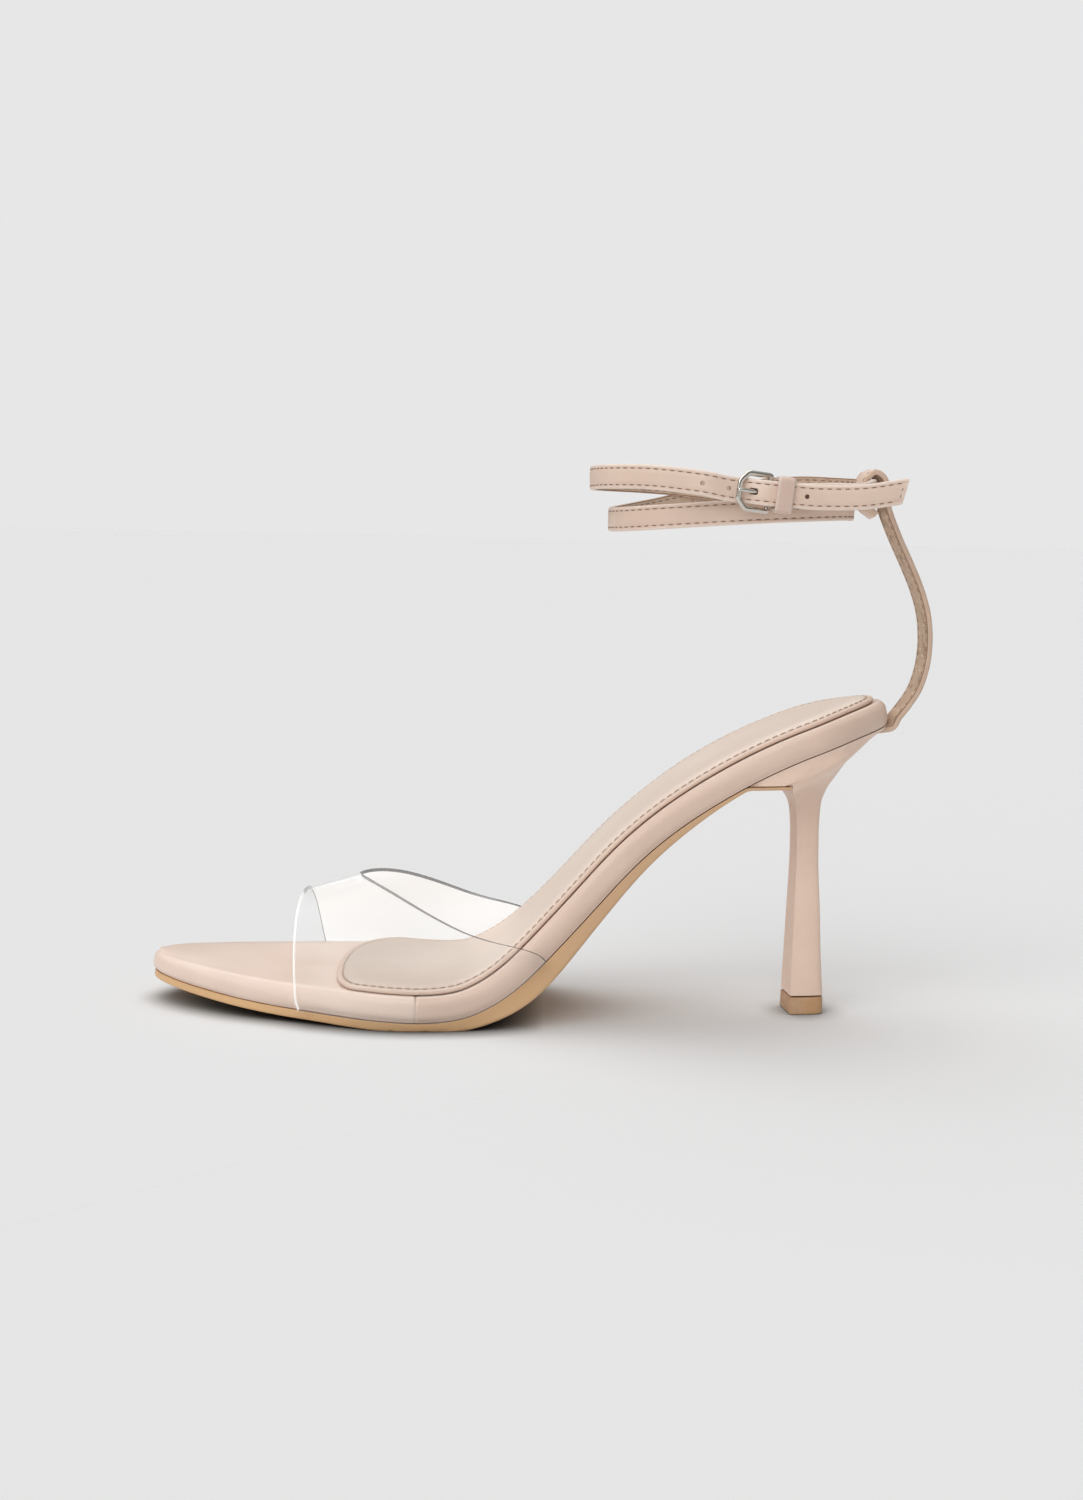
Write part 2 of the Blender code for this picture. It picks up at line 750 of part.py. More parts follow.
def counter_line():
    """Centre line of the back strap, from under the platform up to its loop and round that."""
    root = [bed(SOLE_ARC - COUNTER_ROOT * pull, 0.0, -CLEAR - COUNTER / 2) for pull in (1.0, 0.5)]
    rise = [
        SEAT_BACK + np.array([bow * COUNTER_BOW, 0.0, up * COUNTER_RISE])
        for bow, up in COUNTER_PATH
    ]
    loop = [
        LOOP_MIDDLE + np.array([deep * LOOP_DEPTH, 0.0, up * STRAP_WIDTH])
        for deep, up in LOOP_PATH
    ]
    return path_through(root + rise + loop, 3)


def make_counter_strap(finish):
    rings = swept(ribbon(counter_line(), COUNTER_ACROSS, COUNTER_WIDTH, COUNTER))
    return new_object("counter_strap", rings.points, rings.faces, finish)


# Ankle strap with its buckle

LAYER = STRAP + LAYER_GAP
EYE_RADIUS = WIRE / 2 + CLEAR + STRAP / 2
EYE_POINTS = 10
NEAR_SIDE = -0.5 * ANKLE_WIDTH
RETURN_Y = NEAR_SIDE - STRAP - KEEPER_WALL - 2 * CLEAR - KEEPER_SLACK
HINGE_Y = RETURN_Y - LAYER / 2
MAIN_Y = RETURN_Y - LAYER
FREE_Y = HINGE_Y - EYE_RADIUS - STRAP - CLEAR
LAYER_OUT = {"wrap": 0.0, "rising": 0.4 * (MAIN_Y - NEAR_SIDE), "main": MAIN_Y - NEAR_SIDE}
FREE_Y_AT = {"main": MAIN_Y, "free": FREE_Y, "end": FREE_Y + FREE_LEAN / 6, "tip": FREE_Y + FREE_LEAN}
LEVEL = LOOP_MIDDLE[2] - LOOP_LAYER * WRAP_STEP


def ankle_point(along, across, layer, rise):
    x = LOOP_MIDDLE[0] + along * ANKLE_LENGTH
    return np.array([x, across * ANKLE_WIDTH + LAYER_OUT[layer], LEVEL + rise * WRAP_STEP])


def free_point(leftward, up, layer):
    place = HINGE + LEFTWARD * leftward + UPWARD * up
    return np.array([place[0], FREE_Y_AT[layer], place[2]])


HINGE = np.array([LOOP_MIDDLE[0] - BUCKLE_AT * ANKLE_LENGTH, HINGE_Y, LEVEL + BUCKLE_RISE * WRAP_STEP])
STRAP_FALL = math.radians(BUCKLE_FALL)
FRAME_LIFT = HINGE_Y - MAIN_Y + STRAP / 2 + 2 * CLEAR + WIRE / 2
FRAME_TILT = math.asin(FRAME_LIFT / (FRAME_LENGTH - FRAME_CORNER / 2))
LEFTWARD = np.array([-math.cos(STRAP_FALL), 0.0, math.sin(STRAP_FALL)])
UPWARD = np.array([math.sin(STRAP_FALL), 0.0, math.cos(STRAP_FALL)])
OUTWARD = np.array([0.0, -1.0, 0.0])
FRAME_WAY = LEFTWARD * math.cos(FRAME_TILT) + OUTWARD * math.sin(FRAME_TILT)
FRAME_OUT = OUTWARD * math.cos(FRAME_TILT) - LEFTWARD * math.sin(FRAME_TILT)


def ankle_line():
    """Centre line of the ankle strap: its eye round the buckle's hinge bar, two wraps and the free end."""
    half_layer = LAYER / 2
    eye = []
    for reach, out in ((9.0, -half_layer), (5.0, -half_layer), (2.2, -0.8 * EYE_RADIUS)):
        eye.append(HINGE - LEFTWARD * reach + OUTWARD * out)
    for turn in np.radians([-90, -45, 0, 45, 90]):
        eye.append(HINGE + (LEFTWARD * math.cos(turn) + OUTWARD * math.sin(turn)) * EYE_RADIUS)
    for reach, out in ((2.2, 0.8 * EYE_RADIUS), (5.0, half_layer)):
        eye.append(HINGE - LEFTWARD * reach + OUTWARD * out)
    route = [ankle_point(*row) for row in ANKLE_ROUTE] + [free_point(*row) for row in FREE_ROUTE]
    return path_through(eye + route, 3)


def make_ankle_strap(finish):
    line = ankle_line()
    stands = np.tile([0.0, 0.0, 1.0], (len(line), 1))
    stands[: 3 * EYE_POINTS] = UPWARD
    sections = ribbon(line, stands, STRAP_WIDTH, STRAP)
    end_way = (line[-1] - line[-2]) / np.linalg.norm(line[-1] - line[-2])
    slant = FREE_END_SLANT / STRAP_WIDTH
    sections[-1] = [point + end_way * slant * (point - line[-1])[2] for point in sections[-1]]
    rings = swept(sections)
    item = new_object("ankle_strap", rings.points, rings.faces, finish)
    cutter = prong_slot()
    cut(item, new_object("prong_slot", cutter.points, cutter.faces, finish))
    return item


def prong_slot():
    """Slot through the eye and the hole in the free end: the room that the prong takes, seen from above."""
    deep = EYE_RADIUS + STRAP / 2 + 0.5 * CLEAR
    lift = math.tan(FRAME_TILT)
    middle = (WIRE / 2 + CLEAR + PRONG / 2) / math.cos(FRAME_TILT)
    half = (PRONG / 2 + CLEAR) / math.cos(FRAME_TILT)
    far = FRAME_LENGTH - WIRE
    meets = (deep - middle - half) / lift
    near = EYE_RADIUS + STRAP
    outline = [(-SLOT_BACK, -deep), (near, -deep), (near, middle - half + lift * near)]
    outline += [(far, middle - half + lift * far), (far, middle + half + lift * far)]
    outline += [(meets, deep), (-SLOT_BACK, deep)]
    rows = []
    for end in (-1, 1):
        place = HINGE + UPWARD * end * (PRONG / 2 + CLEAR)
        rows.append([place + LEFTWARD * a + OUTWARD * b for a, b in outline])
    return swept(rows)


def prong_ends():
    bar = HINGE + FRAME_WAY * FRAME_LENGTH
    start = HINGE + FRAME_OUT * (WIRE / 2 + CLEAR + PRONG / 2) + FRAME_WAY * 1.0
    end = bar + FRAME_OUT * (WIRE / 2 + CLEAR + PRONG / 2) + FRAME_WAY * PRONG_REACH
    return start, end


def make_buckle_frame(finish):
    """Round wire ring with cut corners, closed by its hinge bar."""
    long, tall, corner = FRAME_LENGTH, FRAME_HEIGHT / 2, FRAME_CORNER
    outline = [(0, -tall), (long - corner, -tall), (long, corner - tall), (long, tall - corner)]
    outline += [(long - corner, tall), (0, tall)]
    middle = [HINGE + FRAME_WAY * p + UPWARD * q for p, q in outline]
    rings = Rings()
    rows = []
    for i, point in enumerate(middle):
        before = point - middle[i - 1]
        after = middle[(i + 1) % len(middle)] - point
        before /= np.linalg.norm(before)
        after /= np.linalg.norm(after)
        mitre = np.cross(before + after, FRAME_OUT)
        mitre /= np.linalg.norm(mitre)
        mitre /= abs(np.dot(mitre, np.cross(before, FRAME_OUT)))
        turns = np.arange(10) * 2 * math.pi / 10
        rows.append(
            rings.row(
                [point + (mitre * math.cos(t) + FRAME_OUT * math.sin(t)) * WIRE / 2 for t in turns]
            )
        )
    for first, second in zip(rows, rows[1:] + rows[:1]):
        rings.strip(first + first[:1], second + second[:1])
    return new_object("buckle_frame", rings.points, rings.faces, finish)


def make_buckle_prong(finish):
    """A pin whose end is bent round the hinge bar, and whose tip rests on the frame."""
    start, end = prong_ends()
    middle = WIRE / 2 + CLEAR + PRONG / 2
    turns = np.radians([230, 190, 150, 110, 70, 35, 0])
    line = [HINGE + (FRAME_OUT * math.cos(t) - FRAME_WAY * math.sin(t)) * middle for t in turns]
    line += [start + (end - start) * t for t in (0.15, 0.5, 1.0)]
    rings = Rings()
    rows = []
    for i, point in enumerate(line):
        way = line[min(i + 1, len(line) - 1)] - line[max(i - 1, 0)]
        way /= np.linalg.norm(way)
        out = np.cross(way, UPWARD)
        turns = np.arange(8) * 2 * math.pi / 8
        size = PRONG / 2 * (PRONG_TIP if i == len(line) - 1 else 1.0)
        rows.append(rings.row([point + (out * math.cos(t) + UPWARD * math.sin(t)) * size for t in turns]))
    for first, second in zip(rows, rows[1:]):
        rings.strip(first + first[:1], second + second[:1])
    rings.face(*rows[0])
    rings.face(*rows[-1])
    return new_object("buckle_prong", rings.points, rings.faces, finish)


def make_keeper(finish):
    """Leather band round the layers just behind the buckle."""
    inner = RETURN_Y + STRAP / 2 + CLEAR + KEEPER_SLACK
    outer = FREE_Y - STRAP / 2 - CLEAR
    tall = STRAP_WIDTH / 2 + KEEPER_SPARE
    centre = HINGE - LEFTWARD * KEEPER_SET
    rings = Rings()
    loops = []
    for wall in (0.0, KEEPER_WALL):
        corner = 0.5 * wall
        low_y, high_y = outer - wall, inner + wall
        for end in (-0.5, 0.5):
            top = tall + wall
            outline = [(low_y + corner, -top), (high_y - corner, -top), (high_y, corner - top)]
            outline += [(high_y, top - corner), (high_y - corner, top), (low_y + corner, top)]
            outline += [(low_y, top - corner), (low_y, corner - top)]
            place = np.array([centre[0], 0.0, centre[2]]) - LEFTWARD * end * KEEPER_WIDTH
            loops.append([place - OUTWARD * y + UPWARD * up for y, up in outline])
    near_in, far_in, near_out, far_out = loops
    order = [near_in, far_in, far_out, near_out]
    index = []
    for loop in order:
        index.append([len(rings.points) + i for i in range(len(loop))])
        rings.points += loop
    for first, second in zip(index, index[1:] + index[:1]):
        rings.strip(first + first[:1], second + second[:1])
    return new_object("keeper_loop", rings.points, rings.faces, finish)


def main():
    for item in list(bpy.data.objects):
        bpy.data.objects.remove(item, do_unlink=True)
    blush = finish_of("blush_leather", (0.66, 0.49, 0.40), 0.5)
    cream = finish_of("sock_leather", (0.73, 0.60, 0.50), 0.55)
    tan = finish_of("tan_sole", (0.50, 0.29, 0.16), 0.6)
    board = finish_of("board", (0.60, 0.52, 0.42), 0.8)
    clear = finish_of("clear_sheet", (0.95, 0.96, 0.95), 0.08, alpha=0.35)
    steel = finish_of("polished_steel", (0.75, 0.74, 0.72), 0.2, metallic=1.0)
    make_outsole(tan)
    make_insole_board(board)
    make_toe_cover(blush)
    make_rand(blush)
    make_sock_pad(cream)
    make_vamp(clear)
    make_heel(blush)
    make_heel_tip(tan)
    make_counter_strap(blush)
    make_ankle_strap(blush)
    make_keeper(blush)
    make_buckle_frame(steel)
    make_buckle_prong(steel)


main()
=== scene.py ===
"""Dresses the strappy heeled sandal in leather, lining, stitches, clear sheet and polished steel.

Sizes are in millimetres and become metres where a mesh is made. X runs from toe to heel, the
buckle is on the -Y side, Z is up. The origin is the centre of the heel tip's lower face.
"""

import math

import bmesh
import bpy
import numpy as np
from mathutils import Matrix


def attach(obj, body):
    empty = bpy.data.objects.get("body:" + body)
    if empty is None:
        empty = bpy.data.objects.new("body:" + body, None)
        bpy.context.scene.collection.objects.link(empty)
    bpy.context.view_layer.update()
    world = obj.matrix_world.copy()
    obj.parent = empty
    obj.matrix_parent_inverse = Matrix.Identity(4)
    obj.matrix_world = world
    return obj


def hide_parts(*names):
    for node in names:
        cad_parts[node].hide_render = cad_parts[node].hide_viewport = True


bl_info = {
    "name": "Strappy Heeled Sandal",
    "version": (1, 0, 0),
    "blender": (4, 5, 0),
    "location": "3D View > Sidebar > Sandal",
    "description": "Builds the dressed pieces of a strappy high heeled sandal over its solids",
    "category": "Add Mesh",
}

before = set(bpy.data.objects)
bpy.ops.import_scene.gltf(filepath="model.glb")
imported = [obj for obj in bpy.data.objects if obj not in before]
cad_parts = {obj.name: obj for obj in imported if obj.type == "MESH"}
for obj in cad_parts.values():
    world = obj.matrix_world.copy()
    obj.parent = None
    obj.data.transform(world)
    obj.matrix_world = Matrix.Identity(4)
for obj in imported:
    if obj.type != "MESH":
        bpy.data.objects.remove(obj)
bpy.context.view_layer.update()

MM = 0.001
CLEAR = 0.3
ROUND_END = 0.135
EDGE_POINTS = 1441

# Sole and last
FOOTBED_LENGTH = 220.5
SEAT_RISE = 86.0
BALL_WIDTH = 73.7
WAIST_WIDTH = 46.0
SEAT_WIDTH = 49.6
TOE_SWING = 4.2
HEEL_SET = 23.1
OUTSOLE_BALL = 2.8
OUTSOLE_ARCH = 5.4
OUTSOLE_TAIL = 0.9
OUTSOLE_INSET = 0.9
OUTSOLE_BEVEL = 0.45
TAIL_RUN = 12.0

# Wrapped platform and sock
PLATFORM = 7.2
LEATHER = 1.0
MARGIN = 4.5
SEAM_AT = 0.33
SEAM_SOFT = 1.1
SEAM_DIP = 0.30
SEAM_STEPS = (0.0015, 0.003, 0.0045)
TIP_EASE_SPAN = (0.0, 0.05)
TIP_EASE = (0.3, 1.0)
TOE_CROWN = (
    # share of the width that is kept, height in mm
    (0.8, 0.25),
    (0.55, 0.45),
    (0.25, 0.55),
)
TOE_CROWN_END = 0.20
TOE_CROWN_RUN = 0.12
SOCK = 2.4
SOCK_INSET = 3.2
SOCK_FRONT = 0.225
SOCK_FRONT_REACH = {-1: 0.030, 1: 0.080}
SOCK_FRONT_POWER = 2.4
SOCK_FRONT_SET = 0.12

# Clear vamp
VAMP_WALL = 1.0
VAMP_RISE = 35.5
VAMP_FRONT_RISE = 28.2
VAMP_FRONT = 0.204
VAMP_SKEW = 0.009
VAMP_BACK = 0.500
VAMP_RIDGE_FRONT = 0.186
VAMP_RIDGE_BACK = 0.255
VAMP_STAND = 0.7
VAMP_FOLD = 2 / 2.7
VAMP_RIM = 0.24

# Heel and tip
TIP_LENGTH = 10.1
TIP_WIDTH = 11.5
TIP_HEIGHT = 5.3
HEEL_TURN = 7.0
LIP_REACH = 42.2
LIP_EDGE = -1.6
LIP_DROP = 1.2
LIP_CLIMB = 0.03
BREAST_REACH = 31.6
SEAT_STEP = 0.7
SEAT_ROUND = 5.0
SEAT_INSET = 0.9
SEAT_FULL = 0.516

# Straps
STRAP = 1.6
STRAP_WIDTH = 7.0
LAYER_GAP = 0.4
COUNTER = 1.8
COUNTER_WIDTH = 7.6
COUNTER_RISE = 73.2
COUNTER_BOW = 10.0
COUNTER_ROOT = 9.0
COUNTER_TWIST = 13.0
LOOP_DEPTH = 7.0
LOOP_LEAN = 8.0
LOOP_RISE = 68.2
ANKLE_LENGTH = 82.2
ANKLE_WIDTH = 47.2
WRAP_STEP = 11.9
LOOP_LAYER = 0.815
FREE_END_SLANT = 3.2
FREE_LEAN = 2.36

# Buckle and keeper
WIRE = 1.2
FRAME_LENGTH = 9.4
FRAME_HEIGHT = 9.9
FRAME_CORNER = 2.4
FRAME_BROAD = 1.32
BUCKLE_AT = 0.411
BUCKLE_RISE = 0.65
BUCKLE_FALL = 6.0
PRONG = 1.2
PRONG_REACH = 1.1
KEEPER_WALL = 1.2
KEEPER_WIDTH = 4.7
KEEPER_SLACK = 0.5
KEEPER_SET = 3.9
KEEPER_SPARE = 0.4
SLOT_BACK = 2.6
HOLE_X = (-37.9, -30.4, -8.7)

SOLE_SLOPE = (
    # share of the sole's length, degrees
    (0.00, -7.3),
    (0.10, -6.2),
    (0.20, -3.3),
    (0.30, -3.0),
    (0.36, 5.6),
    (0.42, 29.5),
    (0.50, 45.3),
    (0.60, 48.6),
    (0.70, 39.8),
    (0.80, 30.1),
    (0.90, 21.1),
    (1.00, 13.2),
)
SOLE_OUTLINE = (
    # share of length, width it follows, near share, far share
    (0.00, BALL_WIDTH, 0.000, 0.000),
    (0.02, BALL_WIDTH, 0.130, 0.144),
    (0.06, BALL_WIDTH, 0.231, 0.240),
    (0.12, BALL_WIDTH, 0.330, 0.349),
    (0.20, BALL_WIDTH, 0.415, 0.450),
    (0.30, BALL_WIDTH, 0.490, 0.510),
    (0.42, BALL_WIDTH, 0.448, 0.423),
    (0.55, WAIST_WIDTH, 0.565, 0.502),
    (0.68, WAIST_WIDTH, 0.517, 0.485),
    (0.80, SEAT_WIDTH, 0.516, 0.500),
    (0.90, SEAT_WIDTH, 0.490, 0.478),
    (0.97, SEAT_WIDTH, 0.282, 0.266),
    (1.00, SEAT_WIDTH, 0.000, 0.000),
)
PLATFORM_HEIGHT = ((0.0, 0.74), (0.12, 0.89), (0.30, 1.0), (0.40, 1.0), (1.0, 1.0))
OUTSOLE_DEPTH = (
    # share of length, depth
    (0.00, 0.75 * OUTSOLE_BALL),
    (0.10, 0.85 * OUTSOLE_BALL),
    (0.30, OUTSOLE_BALL),
    (0.38, 0.65 * OUTSOLE_ARCH),
    (0.47, OUTSOLE_ARCH),
    (0.58, 0.68 * OUTSOLE_ARCH),
    (0.70, 0.42 * OUTSOLE_ARCH),
    (0.82, OUTSOLE_TAIL),
    (1.00, OUTSOLE_TAIL),
)
EDGE_PROFILE = (
    # inset as a share of the margin, share of the platform's height
    (1.00, 0.00),
    (0.24, 0.00),
    (0.05, 0.22),
    (0.00, 0.50),
    (0.08, 0.80),
    (0.30, 1.00),
    (1.00, 1.00),
)
HEEL_ROWS = (
    # front rise, back rise, front reach, back reach, width, share of the seat form
    (0.066, 0.066, -0.49, 0.56, 0.97, 0.00),
    (0.198, 0.198, -0.465, 0.47, 0.90, 0.00),
    (0.350, 0.350, -0.44, 0.40, 0.82, 0.00),
    (0.530, 0.530, -0.41, 0.30, 0.73, 0.00),
    (0.640, 0.640, -0.43, 0.28, 0.72, 0.00),
    (0.695, 0.716, -0.47, 0.31, 0.76, 0.04),
    (0.730, 0.770, -0.54, 0.45, 0.95, 0.12),
    (0.753, 0.826, -0.66, 0.75, 1.45, 0.30),
    (0.768, 0.893, -0.74, 1.17, 2.50, 0.62),
    (0.780, 0.935, -0.79, 1.55, 3.50, 0.88),
)
COUNTER_PATH = (
    # bow as a share of COUNTER_BOW, rise as a share of COUNTER_RISE
    (0.00, -0.017),
    (0.18, 0.024),
    (0.46, 0.076),
    (0.74, 0.142),
    (0.93, 0.235),
    (0.98, 0.335),
    (0.90, 0.440),
    (0.66, 0.545),
    (0.33, 0.645),
    (-0.03, 0.745),
    (-0.36, 0.850),
)
LOOP_PATH = (
    # depth, rise
    (0.55, -0.42),
    (0.50, 0.00),
    (0.36, 0.52),
    (0.02, 0.76),
    (-0.34, 0.54),
    (-0.44, 0.00),
    (-0.35, -0.60),
    (0.14, -1.02),
)
ANKLE_ROUTE = (
    # along, across, layer, rise
    (-0.190, -0.50, "main", 0.635),
    (-0.092, -0.47, "main", 0.650),
    (-0.026, -0.25, "rising", 0.775),
    (0.000, 0.00, "wrap", LOOP_LAYER),
    (-0.020, 0.28, "wrap", 0.857),
    (-0.086, 0.49, "wrap", 0.900),
    (-0.202, 0.60, "wrap", 0.930),
    (-0.360, 0.63, "wrap", 0.840),
    (-0.555, 0.605, "wrap", 0.590),
    (-0.749, 0.48, "wrap", 0.285),
    (-0.883, 0.25, "wrap", 0.085),
    (-0.931, 0.00, "wrap", 0.000),
    (-0.889, -0.25, "wrap", 0.000),
    (-0.762, -0.43, "wrap", 0.068),
    (-0.579, -0.50, "wrap", 0.170),
    (-0.409, -0.50, "wrap", 0.255),
    (-0.251, -0.48, "wrap", 0.320),
    (-0.135, -0.37, "wrap", 0.361),
    (-0.088, -0.18, "wrap", 0.370),
    (-0.076, 0.00, "wrap", 0.370),
    (-0.090, 0.18, "wrap", 0.403),
    (-0.141, 0.37, "wrap", 0.470),
    (-0.251, 0.487, "wrap", 0.571),
    (-0.409, 0.54, "wrap", 0.730),
    (-0.603, 0.545, "wrap", 0.907),
    (-0.798, 0.457, "wrap", 0.983),
    (-0.944, 0.265, "wrap", 1.000),
    (-1.000, 0.00, "wrap", 1.000),
    (-0.950, -0.30, "wrap", 1.008),
    (-0.810, -0.50, "wrap", 0.991),
)

# Its last run, past the buckle to the free end: from the hinge bar towards the toe, and up
FREE_ROUTE = (
    # leftward, up, layer
    (20.0, 0.6, "main"),
    (12.3, 0.05, "main"),
    (8.2, 0.0, "main"),
    (2.05, 0.0, "free"),
    (-2.15, 0.07, "free"),
    (-8.3, 0.3, "free"),
    (-14.2, 0.65, "free"),
    (-26.1, 2.3, "end"),
    (-37.5, 5.4, "tip"),
)


# Curves

def smooth_rows(xs, ys, at):
    """Rows of values at new places, on smooth curves that stay between the given rows."""
    xs = np.asarray(xs, float)
    ys = np.asarray(ys, float)
    at = np.clip(np.asarray(at, float), xs[0], xs[-1])
    wide = (slice(None),) + (None,) * (ys.ndim - 1)
    step = np.diff(xs)
    rise = np.diff(ys, axis=0) / step[wide]
    slope = np.concatenate([rise[:1], np.zeros_like(rise[1:]), rise[-1:]])
    both = rise[:-1] * rise[1:]
    total = np.where(np.abs(rise[:-1] + rise[1:]) < 1e-12, 1.0, rise[:-1] + rise[1:])
    slope[1:-1] = np.where(both > 0, 2 * both / total, 0.0)
    i = np.clip(np.searchsorted(xs, at, side="right") - 1, 0, len(step) - 1)
    t = ((at - xs[i]) / step[i])[wide]
    span = step[i][wide]
    low = ys[i] * (1 + 2 * t) * (1 - t) ** 2 + span * slope[i] * t * (1 - t) ** 2
    high = ys[i + 1] * t**2 * (3 - 2 * t) + span * slope[i + 1] * t**2 * (t - 1)
    return low + high


def through(rows, at):
    """Second column of a table, read at places of its first one."""
    found = smooth_rows([row[0] for row in rows], [row[1] for row in rows], np.ravel(at))
    return found.reshape(np.shape(at))


def path_through(points, steps):
    """Smooth line through points, with a few steps to each span."""
    points = np.asarray(points, float)
    ends = np.concatenate([[2 * points[0] - points[1]], points, [2 * points[-1] - points[-2]]])
    line = []
    for a, b, c, d in zip(ends, ends[1:], ends[2:], ends[3:]):
        for t in np.arange(steps) / steps:
            bend = (2 * a - 5 * b + 4 * c - d) * t**2 + (3 * b - a - 3 * c + d) * t**3
            line.append(b + 0.5 * ((c - a) * t + bend))
    line.append(points[-1])
    return np.array(line)


def unit(way):
    return way / np.linalg.norm(way, axis=-1, keepdims=True)


# The sole's side profile and outline

FINE = np.linspace(0.0, 1.0, 401)
SLOPE = np.radians(through(SOLE_SLOPE, FINE))
MEAN_SLOPE = (SLOPE[1:] + SLOPE[:-1]) / 2
RUN = np.concatenate([[0.0], np.cumsum(np.cos(MEAN_SLOPE))])
CLIMB = np.concatenate([[0.0], np.cumsum(np.sin(MEAN_SLOPE))])
BED_X = HEEL_SET - FOOTBED_LENGTH * (1 - RUN / RUN[-1])
BED_Z = OUTSOLE_BALL - CLEAR + SEAT_RISE * (CLIMB - CLIMB.min()) / (CLIMB[-1] - CLIMB.min())
BED_TURN = np.arctan2(np.gradient(BED_Z), np.gradient(BED_X))
SOLE_ARC = float(np.hypot(np.diff(BED_X), np.diff(BED_Z)).sum())


def bed(along, across, height):
    """Points over the underside of the platform: along and across it, and up square to it."""
    share = np.asarray(along, float) / SOLE_ARC
    turn = np.interp(share, FINE, BED_TURN)
    x = np.interp(share, FINE, BED_X) - np.sin(turn) * height
    z = np.interp(share, FINE, BED_Z) + np.cos(turn) * height
    return np.stack(np.broadcast_arrays(x, across, z), axis=-1)


def bed_normal(share):
    turn = np.interp(share, FINE, BED_TURN)
    return np.stack([-np.sin(turn), np.zeros_like(turn), np.cos(turn)], axis=-1)


def share_at(x):
    return float(np.interp(x, BED_X, FINE))


def platform(share):
    return PLATFORM * through(PLATFORM_HEIGHT, share)


def half_width(share, side):
    column = 2 if side < 0 else 3
    squares = [(row[0], (row[1] * row[column]) ** 2) for row in SOLE_OUTLINE]
    return np.sqrt(np.maximum(through(squares, share), 0.0))


def build_edge(side):
    """The outline of one side with the direction that points into the sole."""
    turn = np.linspace(0.0, math.pi, EDGE_POINTS)
    share = (1 - np.cos(turn)) / 2
    along = share * SOLE_ARC
    across = TOE_SWING * (1 - share) ** 2 + side * half_width(share, side)
    step_along = np.gradient(along)
    step_across = np.gradient(across)
    size = np.hypot(step_along, step_across)
    return share, along, across, side * step_across / size, -side * step_along / size


EDGES = {side: build_edge(side) for side in (-1, 1)}


def edge(side, share, inset):
    """Places along and across the sole, moved in from its outline by an inset."""
    shares, along, across, in_along, in_across = EDGES[side]
    turn = np.interp(share, shares, np.linspace(0.0, 1.0, len(shares)))
    places = np.linspace(0.0, 1.0, len(shares))
    return (
        np.interp(turn, places, along) + np.interp(turn, places, in_along) * inset,
        np.interp(turn, places, across) + np.interp(turn, places, in_across) * inset,
    )


def stations(start, end, count):
    """Shares of the sole's length, closer together near its round ends."""
    dense = FINE - ROUND_END * np.sin(2 * math.pi * FINE)
    low, high = np.interp([start, end], dense, FINE)
    return np.interp(np.linspace(low, high, count), FINE, dense)


TAIL_X = HEEL_SET - LIP_REACH
BREAST_X = HEEL_SET - BREAST_REACH
TAIL_SHARE = share_at(BREAST_X - CLEAR)
LIP_SHARE = share_at(TAIL_X + LIP_EDGE)
SEAM_HALF = 0.12 * CLEAR / SOLE_ARC


def lip_level(x):
    """Height of the heel's lip, where the outsole ends under the seat."""
    return np.interp(TAIL_X, BED_X, BED_Z) - LIP_DROP + LIP_CLIMB * (x - TAIL_X)


# Meshes

class Rings:
    """Collects points once each, and the faces between rows of them with the number of their finish."""

    def __init__(self):
        self.points = []
        self.faces = []
        self.finishes = []
        self.known = {}

    def add(self, point):
        key = tuple(round(float(value), 4) for value in point)
        if key not in self.known:
            self.known[key] = len(self.points)
            self.points.append(point)
        return self.known[key]

    def row(self, points):
        return [self.add(point) for point in points]

    def face(self, *corners, finish=0):
        kept = list(dict.fromkeys(corners))
        if len(kept) > 2:
            self.faces.append(kept)
            self.finishes.append(finish)

    def strip(self, first, second, finishes=None):
        for i, (a, b, c, d) in enumerate(zip(first, first[1:], second[1:], second)):
            self.face(a, b, c, d, finish=finishes[i] if finishes else 0)


def merge_ends(near, far, place):
    """Lets the near and the far chain share one point."""
    near[place] = far[place] = (near[place] + far[place]) / 2


def layered(rows):
    """Body through pairs of near and far chains that share their tip, with a flat back end."""
    rings = Rings()
    pairs = [(rings.row(near), rings.row(far)) for near, far in rows]
    for (near, far), (next_near, next_far) in zip(pairs, pairs[1:]):
        rings.strip(near, next_near)
        rings.strip(next_far, far)
        rings.face(near[-1], far[-1], next_far[-1], next_near[-1])
    rings.strip(pairs[0][1], pairs[0][0])
    rings.strip(pairs[-1][0], pairs[-1][1])
    return rings


def swept(sections, finishes=None):
    """Body through closed rings of equally many points, with ends filled by strips of finish 1."""
    rings = Rings()
    rows = [rings.row(section) for section in sections]
    for first, second in zip(rows, rows[1:]):
        rings.strip(first + first[:1], second + second[:1], finishes)
    half = len(rows[0]) // 2
    for row in (rows[0], rows[-1]):
        rings.strip(row[:half], row[: half - 1 : -1], [1] * half)
    return rings


def tube(sections, joined=False):
    """Body through closed rings of points, joined into a loop or ended by one face each."""
    rings = Rings()
    rows = [rings.row(section) for section in sections]
    for first, second in zip(rows, rows[1:] + rows[:1] if joined else rows[1:]):
        rings.strip(first + first[:1], second + second[:1])
    if not joined:
        rings.face(*rows[0])
        rings.face(*rows[-1])
    return rings


